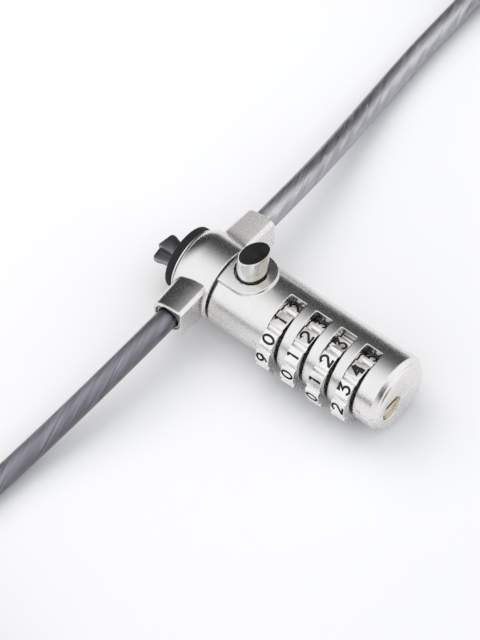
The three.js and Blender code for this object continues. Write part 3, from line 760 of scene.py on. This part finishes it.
def add_nose():
    front_wall, hook_slot_half, hook_slot_half_height = -13.2, 3, 1.6
    core = joined(
        bar("x", NOSE_R, NOSE_FRONT, BARREL_FRONT + 0.5, sides=96),
        turned("x", [
            (NOSE_FRONT, NOSE_RIM_R - 0.08),
            (NOSE_FRONT + 0.08, NOSE_RIM_R),
            (NOSE_FRONT + NOSE_RIM - 0.08, NOSE_RIM_R),
            (NOSE_FRONT + NOSE_RIM, NOSE_RIM_R - 0.08),
        ], sides=128),
        bar("x", SOCKET_R - 0.05, BARREL_FRONT + 0.1, BARREL_FRONT + SOCKET_DEPTH - 0.05),
    )
    cut(
        core,
        bar("x", NOSE_CAVITY_R, front_wall, 0),
        block(
            NOSE_FRONT - 1, front_wall + 1,
            HOOK_Y - hook_slot_half, HOOK_Y + hook_slot_half,
            -hook_slot_half_height, hook_slot_half_height,
        ),
        bar("z", PIN_HOLE_R, -8, 8, PIVOT_X, HOOK_Y, 24),
        bar("z", BUTTON_BORE_R + 0.3, 1.9, BOSS_TOP + 2, BUTTON_X, BUTTON_Y),
    )
    tube_faces = [face.center.x > NOSE_FRONT + NOSE_RIM + 0.1 for face in core.data.polygons]
    piece(core, "nose_tube", "barrel", [NICKEL, DARK_STEEL], ["nose_core"], 30)
    core.data.polygons.foreach_set("material_index", tube_faces)


def add_washer():
    rear = NOSE_FRONT - 0.05
    ring = turned("x", [
        (rear, WASHER_R - 0.1),
        (rear - 0.15, WASHER_R),
        *rounded_step(WASHER_FRONT + 0.6, WASHER_R, WASHER_FRONT, WASHER_R - 0.6, 6),
    ], sides=128)
    hole = bar("x", WASHER_HOLE_R, WASHER_FRONT - 1, NOSE_FRONT + 1, HOOK_Y, 0, 96)
    piece(cut(ring, hole), "washer_ring", "barrel", [RUBBER], ["rubber_washer"], 30)


# ----------------------------------------------------------------- hook fingers


def add_fingers():
    for name, side in (("upper", 1), ("lower", -1)):
        z0, z1 = sorted((side * HOOK_GAP, side * (HOOK_GAP + HOOK_THICK)))
        blank = bevelled(plate([(x, side * y) for x, y in HOOK_OUTLINE], z0, z1), HOOK_EDGE, 50)
        (ax, ay), (bx, by) = [(x, side * y) for x, y in DRIVE_SLOT]
        turn = math.atan2(by - ay, bx - ax)
        dx, dy = -math.sin(turn) * DRIVE_SLOT_R, math.cos(turn) * DRIVE_SLOT_R
        sides = [(ax + dx, ay + dy), (bx + dx, by + dy), (bx - dx, by - dy), (ax - dx, ay - dy)]
        cut(
            blank,
            bar("z", PIVOT_HOLE_R, -3, 3, 0, 0, 32),
            bar("z", DRIVE_SLOT_R, -3, 3, ax, ay, 32),
            bar("z", DRIVE_SLOT_R, -3, 3, bx, by, 32),
            plate(sides, -3, 3),
        )
        spread = Matrix.Rotation(math.radians(-side * HOOK_SPREAD_DEG), 4, "Z")
        blank.data.transform(Matrix.Translation((PIVOT_X, HOOK_Y, 0)) @ spread)
        piece(blank, f"hook_{name}", f"finger_{name}", [DARK_STEEL],
              [f"hook_finger_{name}"], 30)


# ----------------------------------------------------------------- push button


def leaning_ring(r, height):
    """A ring of the button, which leans a little from the boss's top upwards.

    height gives the ring's Z at each place (x, y) in it.
    """
    lean_x, lean_y = BUTTON_LEAN
    ring = []
    for x, y in circle(r, 96):
        z = height(x, y)
        rise = max(z - BOSS_TOP, 0)
        ring.append((BUTTON_X + x + lean_x * rise, BUTTON_Y + y + lean_y * rise, z))
    return ring


def level_ring(r, z):
    return leaning_ring(r, lambda x, y: z)


def slanted_ring(r, drop):
    top, turn = BOSS_TOP + BUTTON_RISE, math.radians(BUTTON_SLANT_TURN)
    return leaning_ring(
        r, lambda x, y: top - drop + BUTTON_SLANT * (x * math.cos(turn) + y * math.sin(turn))
    )


def button_head():
    rounding = [math.radians(15 * i) for i in range(7)]
    rings = [
        level_ring(BUTTON_FLANGE_R, BUTTON_FLANGE_FLOOR),
        level_ring(BUTTON_FLANGE_R, BUTTON_FLANGE_TOP),
        level_ring(BUTTON_R, BUTTON_FLANGE_TOP),
        level_ring(BUTTON_R, BOSS_TOP),
    ]
    for t in rounding:
        inward, drop = BUTTON_RIM * (1 - math.cos(t)), BUTTON_RIM * (1 - math.sin(t))
        rings.append(slanted_ring(BUTTON_R - inward, drop))
    rings.append(slanted_ring(BUTTON_R - BUTTON_RIM - 0.25, 0.03))
    rings.append(slanted_ring(1.2, 0.07))
    return skin("head", rings)


def add_button():
    left, right, near_y, far_y, cam_line = -1.2, 2.0, -1.1, 1.45, 1.95
    stem_top = BUTTON_FLANGE_FLOOR + 0.3
    stem_outline = (
        (right, cam_line - right),
        (right, stem_top),
        (left, stem_top),
        (left, cam_line - left),
    )
    stem = skin("stem", [[(x, y, z) for x, z in stem_outline] for y in (near_y, far_y)])
    piece(joined(button_head(), stem), "button_cap", "button", [CHROME],
          ["push_button"], 35)


def add_bushing():
    top, floor = BOSS_TOP - 0.6, 8.3
    outer, inner = BUTTON_BORE_R - 0.05, BUTTON_R + 0.2
    profile = (
        (floor, inner),
        (floor, outer),
        (top - 0.06, outer),
        (top, outer - 0.06),
        (top - 0.01, inner + 0.04),
        (top - 0.06, inner),
    )
    ring = turned("z", profile, BUTTON_X, BUTTON_Y, 96, closed=True)
    piece(ring, "button_ring", "barrel", [DARK_STEEL], ["button_bushing"], 50)


# ---------------------------------------------------------------------- wheels


def digit_strokes(digit):
    """Middle lines of a digit's strokes, as (points, closed), 2.4 mm high."""
    tip = 1.2
    ring = arc(0, -0.45, 0.75, 0, 345, 23)
    six = [(ring, True), ([(-0.72, -0.3), (-0.62, 0.15), (-0.35, 0.62), (0.3, tip)], False)]
    two_top = arc(0, 0.45, 0.75, 165, -35, 12)
    three_bowl = arc(0, -0.45, 0.75, 90, -155, 14)
    five_bowl = arc(-0.05, -0.4, 0.8, 130, -150, 16)
    oval = [(0.75 * math.cos(t), tip * math.sin(t)) for t in (math.pi * i / 14 for i in range(28))]
    strokes = {
        0: [(oval, True)],
        1: [([(-0.25, 0.85), (0.04, tip), (0.04, -tip)], False)],
        2: [([*two_top, (-0.72, -tip + 0.12), (-0.72, -tip), (0.78, -tip)], False)],
        3: [([(-0.7, tip), (0.65, tip), (-0.05, 0.3), *three_bowl], False)],
        4: [
            ([(0.38, -tip - 0.1), (0.38, tip - 0.1)], False),
            ([(0.45, tip), (-0.7, -0.45), (0.9, -0.45)], False),
        ],
        5: [([(0.7, tip), (-0.55, tip), (-0.62, 0.2), *five_bowl], False)],
        6: six,
        7: [([(-0.75, tip), (0.75, tip), (0.1, 0), (-0.2, -tip)], False)],
        8: [(arc(0, -0.55, 0.72, 0, 345, 23), True), (arc(0, 0.62, 0.55, 0, 340, 17), True)],
        9: [([(-x, -y) for x, y in points], closed) for points, closed in six],
    }
    return strokes[digit]


def stroke_ribbon(points, closed, turn):
    """A stroke's cutting tool, standing on the flat at the given turn."""
    normal = (math.cos(turn), math.sin(turn))
    across = (math.sin(turn), -math.cos(turn))
    outside = WHEEL_TIP_R + 0.3
    corners = ((-1, ENGRAVED_R), (1, ENGRAVED_R), (1, outside), (-1, outside))
    sharpest = 0.45
    rings = []
    count = len(points)
    for i, (u, v) in enumerate(points):
        before = points[i - 1] if closed or i else points[0]
        after = points[(i + 1) % count] if closed or i < count - 1 else points[i]
        a = Vector((u - before[0], v - before[1]))
        b = Vector((after[0] - u, after[1] - v))
        a, b = (a or b).normalized(), (b or a).normalized()
        side = Vector((-a.y - b.y, a.x + b.x)).normalized()
        half = STROKE / 2 / max(sharpest, side.dot(Vector((-a.y, a.x))))
        ring = []
        for s, r in corners:
            pu, pv = u * DIGIT_SCALE + s * half * side.x, v * DIGIT_SCALE + s * half * side.y
            ring.append((-pv, normal[0] * r + across[0] * pu, normal[1] * r + across[1] * pu))
        rings.append(ring)
    return skin("stroke", rings, closed)


def wheel_blank():
    """Ten flats with a notch between neighbours; flat 0 faces +Z."""
    corners = (
        (FLAT_HALF_DEG, WHEEL_TIP_R),
        (-FLAT_HALF_DEG, WHEEL_TIP_R),
        (-NOTCH_FROM_DEG, NOTCH_R),
        (-NOTCH_TO_DEG, NOTCH_R),
    )
    outline = []
    for i in range(10):
        middle = 90 - i * DIGIT_STEP_DEG
        for off, r in corners:
            turn = math.radians(middle + off)
            outline.append((r * math.cos(turn), r * math.sin(turn)))
    half = WHEEL_WIDTH / 2
    ring = skin("wheel", [[(x, y, z) for y, z in outline] for x in (-half, half)])
    bevelled(ring, 0.13, 20, 3)
    slots = []
    for i in range(10):
        slot = block(-3, 3, -KEY_SLOT_HALF, KEY_SLOT_HALF, 0, KEY_SLOT_R)
        slot.data.transform(Matrix.Rotation(math.radians(i * DIGIT_STEP_DEG), 4, "X"))
        slots.append(slot)
    return cut(ring, bar("x", WHEEL_BORE_R, -3, 3), *slots)


def ink_engraving(mesh):
    """The second material on the digits' floors and walls; the third, a darker steel as painted
    shade, on the wheel's sides.
    """
    flat_height = WHEEL_TIP_R * math.cos(math.radians(FLAT_HALF_DEG))
    for face in mesh.polygons:
        x, y, z = face.center
        turn = math.degrees(math.atan2(z, y)) - 90
        off = math.radians((turn + DIGIT_STEP_DEG / 2) % DIGIT_STEP_DEG - DIGIT_STEP_DEG / 2)
        r = math.hypot(y, z)
        height, sideways = r * math.cos(off), abs(r * math.sin(off))
        inside = ENGRAVED_R - 0.05 < height < flat_height - 0.02
        engraved = inside and sideways < DIGIT_HALF_WIDTH and abs(x) < DIGIT_HALF_HEIGHT
        # painted shade: both side faces take the darker steel, for the shadow in the slot's gap
        painted_shade_side = abs(x) > WHEEL_WIDTH / 2 - 0.02
        face.material_index = 1 if engraved else 2 if painted_shade_side else 0


def add_wheels():
    blank = wheel_blank()
    tools = []
    for digit in range(10):
        turn = math.radians(90 - digit * DIGIT_STEP_DEG)
        tools += [stroke_ribbon(p, closed, turn) for p, closed in digit_strokes(digit)]
    cut(blank, *tools)
    for k, (x, phase, digit) in enumerate(zip(WHEEL_XS, REST_PHASE_DEG, DIGIT_UNDER_PHASE), 1):
        wheel = link("wheel", blank.data.copy())
        turn = math.radians(phase + digit * DIGIT_STEP_DEG)
        ink_engraving(wheel.data)
        chosen = [face.material_index for face in wheel.data.polygons]
        spin = Matrix.Rotation(turn, 4, "X")
        wheel.data.transform(Matrix.Translation((x, WHEEL_Y, WHEEL_Z)) @ spin)
        piece(wheel, f"digit_wheel_{k}", f"wheel_{k}",
              [LIT_WHEEL_NICKEL, INK, STEEL], [f"number_wheel_{k}"], 30)
        wheel.data.polygons.foreach_set("material_index", chosen)
    bpy.data.objects.remove(blank)


def add_reset_screw():
    head_r, flange_r, edge = 2.75, 3.9, 0.2
    slot_depth, slot_half, past_head = 0.8, 0.4, 9
    screw = turned("x", [
        (SLEEVE_BORE_TO - 0.9, flange_r),
        (SLEEVE_BORE_TO - 0.15, flange_r),
        (SLEEVE_BORE_TO - 0.15, head_r),
        (RESET_FACE_X - edge, head_r),
        (RESET_FACE_X, head_r - edge),
    ], WHEEL_Y, WHEEL_Z, 72)
    slot = block(
        RESET_FACE_X - slot_depth, RESET_FACE_X + 1,
        -past_head, past_head,
        WHEEL_Z - slot_half, WHEEL_Z + slot_half,
    )
    piece(cut(screw, slot), "code_reset_screw", "reset", [BRASS], ["reset_screw"], 30)


# ---------------------------------------------------------------------- cables


def smoothstep(t):
    t = min(1, max(0, t))
    return t * t * (3 - 2 * t)


def coil_line(layers):
    """The wound part and the tail, as (u, v, height) about the coil's centre."""
    wide, narrow = COIL_RADII
    stations = []
    for layer in range(layers):
        pair = (wide, narrow) if layer % 2 == 0 else (narrow, wide)
        stations += [(r, layer) for r in pair]
    pitch = COIL_HOLD_DEG + COIL_SHIFT_DEG
    last_start = COIL_ENTRY_DEG + pitch * (len(stations) - 1)
    rise_end = last_start + 360
    leaves = rise_end + (TAIL_LEAVES_DEG - rise_end) % 360
    line = []
    turn = COIL_ENTRY_DEG
    while turn < leaves:
        along = (turn - COIL_ENTRY_DEG) / pitch
        i = min(int(along), len(stations) - 1)
        r, layer = stations[i]
        if i < len(stations) - 1:
            shift = smoothstep(((along - i) * pitch - COIL_HOLD_DEG) / COIL_SHIFT_DEG)
            r += (stations[i + 1][0] - r) * shift
            layer += (stations[i + 1][1] - layer) * shift
        else:
            layer += smoothstep((turn - rise_end + TAIL_RISE_DEG) / TAIL_RISE_DEG)
        t = math.radians(turn)
        line.append((r * math.cos(t), r * math.sin(t), COIL_MIDDLE + CABLE_D * layer))
        turn += 5
    return line


def tail_line(layers):
    """From the top of the coil, through the crimp, round the eye and back."""
    low = COIL_MIDDLE + CABLE_D * layers
    high = COIL_MIDDLE + TAIL_LIFT + CABLE_D * layers
    bend = arc(*TAIL_BEND_AT, TAIL_BEND_R, TAIL_LEAVES_DEG, 270, 12)
    line = [(u, v, low + (high - low) * smoothstep(i / 12)) for i, (u, v) in enumerate(bend)]
    line += [(u, -CRIMP_OFFSET - STRAND_Y, high) for u in (-9, -5, -2)]
    line += [(EYE_SHIFT + u, -CRIMP_OFFSET - half, high) for u, half in EYE_HALF]
    line += [(EYE_SHIFT + u, -CRIMP_OFFSET + half, high) for u, half in reversed(EYE_HALF[:-1])]
    line += [(u, -CRIMP_OFFSET + STRAND_Y, high) for u in (-4, -8, -11.5)]
    return line


def smooth_line(points, step):
    """Even steps along a Catmull-Rom curve through the points."""
    fine_step = 0.5
    points = [Vector(p) for p in points]
    ends = [2 * points[0] - points[1], *points, 2 * points[-1] - points[-2]]
    fine = []
    for a, b, c, d in zip(ends, ends[1:], ends[2:], ends[3:]):
        parts = max(2, round((c - b).length / fine_step))
        for i in range(parts):
            t = i / parts
            fine.append(0.5 * (2 * b + (c - a) * t + (2 * a - 5 * b + 4 * c - d) * t ** 2
                               + (3 * b - a - 3 * c + d) * t ** 3))
    fine.append(points[-1])
    spans = [(b - a).length for a, b in zip(fine, fine[1:])]
    total = sum(spans)
    count = round(total / step)
    even, i, walked = [], 0, 0.0
    for k in range(count):
        target = total * k / count
        while walked + spans[i] < target:
            walked += spans[i]
            i += 1
        even.append(fine[i].lerp(fine[i + 1], (target - walked) / spans[i]))
    even.append(fine[-1])
    return even, total


def cable_line(name):
    """The whole middle line of a cable, from its ferrule to its cut end in the crimp."""
    (cx, cy), layers, side = COILS[name]
    wound = coil_line(layers) + tail_line(layers)
    placed = [(cx + u, cy - side * v, FLOOR_Z + height) for u, v, height in wound]
    return [*ROUTES[name], *placed]


def frames_along(line):
    """Each point of a line with two steady normals to it."""
    stations = []
    up = Vector((0, 0, 1))
    for i, point in enumerate(line):
        tangent = (line[min(i + 1, len(line) - 1)] - line[max(i - 1, 0)]).normalized()
        side = tangent.cross(up).normalized()
        up = side.cross(tangent).normalized()
        stations.append((point, side, up))
    return stations


def tube(name, line, radius, sides):
    rings = []
    for point, side, up in frames_along(line):
        ring = circle(radius, sides)
        rings.append([tuple(point + side * u + up * v) for u, v in ring])
    return skin(name, rings)


def strand_core(name, line, step, sides=42):
    """Six strands laid round each other, with UVs that follow their lay."""
    lay_length, strands, radius, groove = 38.0, 6, 2.15, 0.13
    rings, along = [], []
    for i, (point, side, up) in enumerate(frames_along(line)):
        twist = 2 * math.pi * i * step / lay_length
        ring = []
        for k in range(sides):
            turn = 2 * math.pi * k / sides
            crest = abs(math.cos(strands / 2 * (turn - twist)))
            r = radius - groove * (1 - crest) ** 1.5
            ring.append(tuple(point + side * (r * math.cos(turn)) + up * (r * math.sin(turn))))
        rings.append(ring)
        along.append(i * step / lay_length)
    core = skin(name, rings)
    layer = core.data.uv_layers.new(name="lay")
    for face in core.data.polygons:
        corners = [divmod(core.data.vertices[v].index, sides) for v in face.vertices]
        wraps = max(k for _, k in corners) - min(k for _, k in corners) > sides / 2
        for loop, (ring, k) in zip(face.loop_indices, corners):
            around = (k + sides if wraps and k == 0 else k) / sides
            layer.data[loop].uv = (around - along[ring], along[ring])
    return core


def add_tie(name):
    """A strap over one side of the coil, open underneath."""
    (cx, cy), layers, side = COILS[name]
    low = FLOOR_Z + 0.05
    top = FLOOR_Z + layers * CABLE_D + STRAP_GAP + STRAP_WALL

    def band(inset):
        a, b = STRAP_INNER - STRAP_WALL + inset, STRAP_OUTER + STRAP_WALL - inset
        z1 = top - inset
        r = 0.8 - min(inset, 0.6)
        return [
            (a, low),
            *[(a + r + y, z1 - r + z) for y, z in arc(0, 0, r, 180, 90, 6)],
            *[(b - r + y, z1 - r + z) for y, z in arc(0, 0, r, 90, 0, 6)],
            (b, low),
        ]

    outline = band(0) + list(reversed(band(STRAP_WALL)))
    ends = (cx - STRAP_HALF_WIDTH, cx + STRAP_HALF_WIDTH)
    strap = skin("strap", [[(x, cy + side * y, z) for y, z in outline] for x in ends])
    bevelled(strap, 0.2, 40)
    return piece(strap, f"coil_strap_{name}", "collar", [STRAP],
                 [f"cable_{name}_tie"], 50)


def add_crimp(name):
    """A double sleeve on the cable's two strands at the eye, with three pressed grooves."""
    (cx, coil_y), layers, side = COILS[name]
    cy, z = coil_y + side * CRIMP_OFFSET, FLOOR_Z + layers * CABLE_D + CRIMP_R + 0.3
    stations = [(0, 0.88), (0.3, 1)]
    for middle in (3.0, 6.0, 9.0):
        stations += [(middle - 0.7, 1), (middle - 0.3, 0.93)]
        stations += [(middle + 0.3, 0.93), (middle + 0.7, 1)]
    stations += [(CRIMP_LENGTH - 0.3, 1), (CRIMP_LENGTH, 0.88)]
    rings = []
    for along, scale in stations:
        r = CRIMP_R * scale
        right = [(STRAND_Y + u, v) for u, v in arc(0, 0, r, -90, 90, 16)]
        left = [(-STRAND_Y + u, v) for u, v in arc(0, 0, r, 90, 270, 16)]
        rings.append([(cx + CRIMP_START + along, cy + u, z + v) for u, v in right + left])
    sleeve = skin("crimp", rings)
    return piece(sleeve, f"eye_crimp_{name}", "collar", [STEEL],
                 [f"cable_{name}_crimp"], 30)


def add_cable(name):
    core_step, jacket_step = 1.3, 2.6
    line = cable_line(name)
    fine, length = smooth_line(line, core_step)
    core = strand_core(f"core_{name}", fine, length / (len(fine) - 1))
    coarse, _ = smooth_line(line, jacket_step)
    jacket = tube(f"jacket_{name}", coarse, CABLE_D / 2, 32)
    piece(core, f"wire_core_{name}", "collar", [STRANDS[name]], (), 180)
    nodes = [f"cable_{name}", f"cable_{name}_coil", f"cable_{name}_loop"]
    piece(jacket, f"cable_jacket_{name}", "collar", [JACKET], nodes, 180)
    add_crimp(name)
    add_tie(name)


# ----------------------------------------------------------- hidden CAD pieces

HIDDEN_LOOKS = {
    "locking_spindle": STEEL,
    "drive_pin": STEEL,
    "finger_pivot_pin": STEEL,
    "shell_dowel": STEEL,
    "detent_ball": CHROME,
    "detent_spring": SPRING_STEEL,
    "button_spring": SPRING_STEEL,
    "spindle_spring": SPRING_STEEL,
    "clutch_sleeve": BRASS,
    "rear_bearing": BRASS,
}


def finish_hidden_nodes():
    """A look for each CAD node that no piece replaces."""
    for name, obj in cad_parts.items():
        for start, look in HIDDEN_LOOKS.items():
            if name.startswith(start):
                obj.data.materials.clear()
                obj.data.materials.append(look)


# --------------------------------------------------------------------- setting

# The directions of the tent's two dark cards, and its greys by degrees from each.
DARK_SIDE = (-0.74, 0.61, 0.28)
DARK_SIDE_GREYS = ((72, 1.0), (60, 0.85), (48, 0.45), (40, 0.2), (30, 0.03))
DARK_END = (0.85, -0.47, 0.2)
DARK_END_GREYS = ((28, 1.0), (20, 0.3), (10, 0.03))
TENT_STRENGTH = 1.1

# The lamp that casts the soft shadow; it leaves no reflection of its own.
KEY_DIRECTION = (-0.8, 0.3, 1.3)
KEY_DISTANCE = 0.9
KEY_SIZE = 0.8
KEY_WATTS = 4
KEY_TINT = (1, 0.97, 0.93)

# The camera looks at a point this far right of and above the lock's origin, in its own view.
CAMERA_AZIMUTH_DEG = 40.1
CAMERA_ELEVATION_DEG = 55.04
CAMERA_ROLL_DEG = -1.1
CAMERA_DISTANCE = 0.9
CAMERA_LENS = 234.4
CAMERA_AIM = (-1.4, -5.31)


def add_floor():
    half = 3
    corners = [(-half, -half, 0), (half, -half, 0), (half, half, 0), (-half, half, 0)]
    floor = mesh_object("floor", corners, [(0, 1, 2, 3)])
    look = Look("paper", Specular_IOR_Level=0.1, Roughness=0.9)
    cool, warm = (0.86, 0.865, 0.88, 1), (0.9, 0.9, 0.91, 1)
    look.drive("Base Color", look.ramp(look.noise(3, 2), cool, warm))
    floor.data.materials.append(look.material)


def dark_card(tree, facing, greys):
    """Greys around one direction of the tent, by their angle from it."""
    direction = tree.nodes.new("ShaderNodeTexCoord").outputs["Generated"]
    dot = tree.nodes.new("ShaderNodeVectorMath")
    dot.operation = "DOT_PRODUCT"
    dot.inputs[1].default_value = Vector(facing).normalized()
    tree.links.new(direction, dot.inputs[0])
    ramp = tree.nodes.new("ShaderNodeValToRGB")
    stops = ramp.color_ramp.elements
    stops.remove(stops[1])
    for degrees, grey in greys:
        stop = stops.new(math.cos(math.radians(degrees)))
        stop.color = (grey * 0.98, grey * 0.987, grey, 1)
    stops.remove(stops[0])
    tree.links.new(dot.outputs["Value"], ramp.inputs["Fac"])
    return ramp.outputs["Color"]


def add_world():
    """A bright tent with two dark cards, as studio metalwork is lit."""
    world = bpy.data.worlds.new("tent")
    bpy.context.scene.world = world
    world.use_nodes = True
    tree = world.node_tree
    product = tree.nodes.new("ShaderNodeVectorMath")
    product.operation = "MULTIPLY"
    tree.links.new(dark_card(tree, DARK_SIDE, DARK_SIDE_GREYS), product.inputs[0])
    tree.links.new(dark_card(tree, DARK_END, DARK_END_GREYS), product.inputs[1])
    background = tree.nodes["Background"]
    tree.links.new(product.outputs["Vector"], background.inputs["Color"])
    background.inputs["Strength"].default_value = TENT_STRENGTH


def add_key_light():
    data = bpy.data.lights.new("key", "AREA")
    data.shape = "SQUARE"
    data.size = KEY_SIZE
    data.energy = KEY_WATTS
    data.color = KEY_TINT
    lamp = bpy.data.objects.new("key", data)
    bpy.context.scene.collection.objects.link(lamp)
    toward = Vector(KEY_DIRECTION).normalized()
    lamp.location = LOCK_ORIGIN + toward * KEY_DISTANCE
    lamp.rotation_mode = "QUATERNION"
    lamp.rotation_quaternion = toward.to_track_quat("Z", "Y")
    lamp.visible_glossy = False


def add_camera():
    azimuth, elevation = math.radians(CAMERA_AZIMUTH_DEG), math.radians(CAMERA_ELEVATION_DEG)
    roll = math.radians(CAMERA_ROLL_DEG)
    aim_right, aim_up = CAMERA_AIM
    back = Vector((
        math.sin(azimuth) * math.cos(elevation),
        -math.cos(azimuth) * math.cos(elevation),
        math.sin(elevation),
    ))
    turn = (-back).to_track_quat("-Z", "Y") @ Quaternion((0, 0, 1), roll)
    data = bpy.data.cameras.new("camera")
    data.sensor_width = 36
    data.lens = CAMERA_LENS
    camera = bpy.data.objects.new("camera", data)
    bpy.context.scene.collection.objects.link(camera)
    right, up = turn @ Vector((1, 0, 0)), turn @ Vector((0, 1, 0))
    target = LOCK_ORIGIN + right * (aim_right * MM) + up * (aim_up * MM)
    camera.location = target + back * CAMERA_DISTANCE
    camera.rotation_mode = "QUATERNION"
    camera.rotation_quaternion = turn
    bpy.context.scene.camera = camera
    bpy.context.scene.view_settings.view_transform = "Standard"


add_camera()
for cable in COILS:
    add_cable(cable)
add_barrel()
add_collar()
add_ferrules()
add_nose()
add_washer()
add_fingers()
add_button()
add_bushing()
add_wheels()
add_reset_screw()
finish_hidden_nodes()
add_floor()
add_world()
add_key_light()
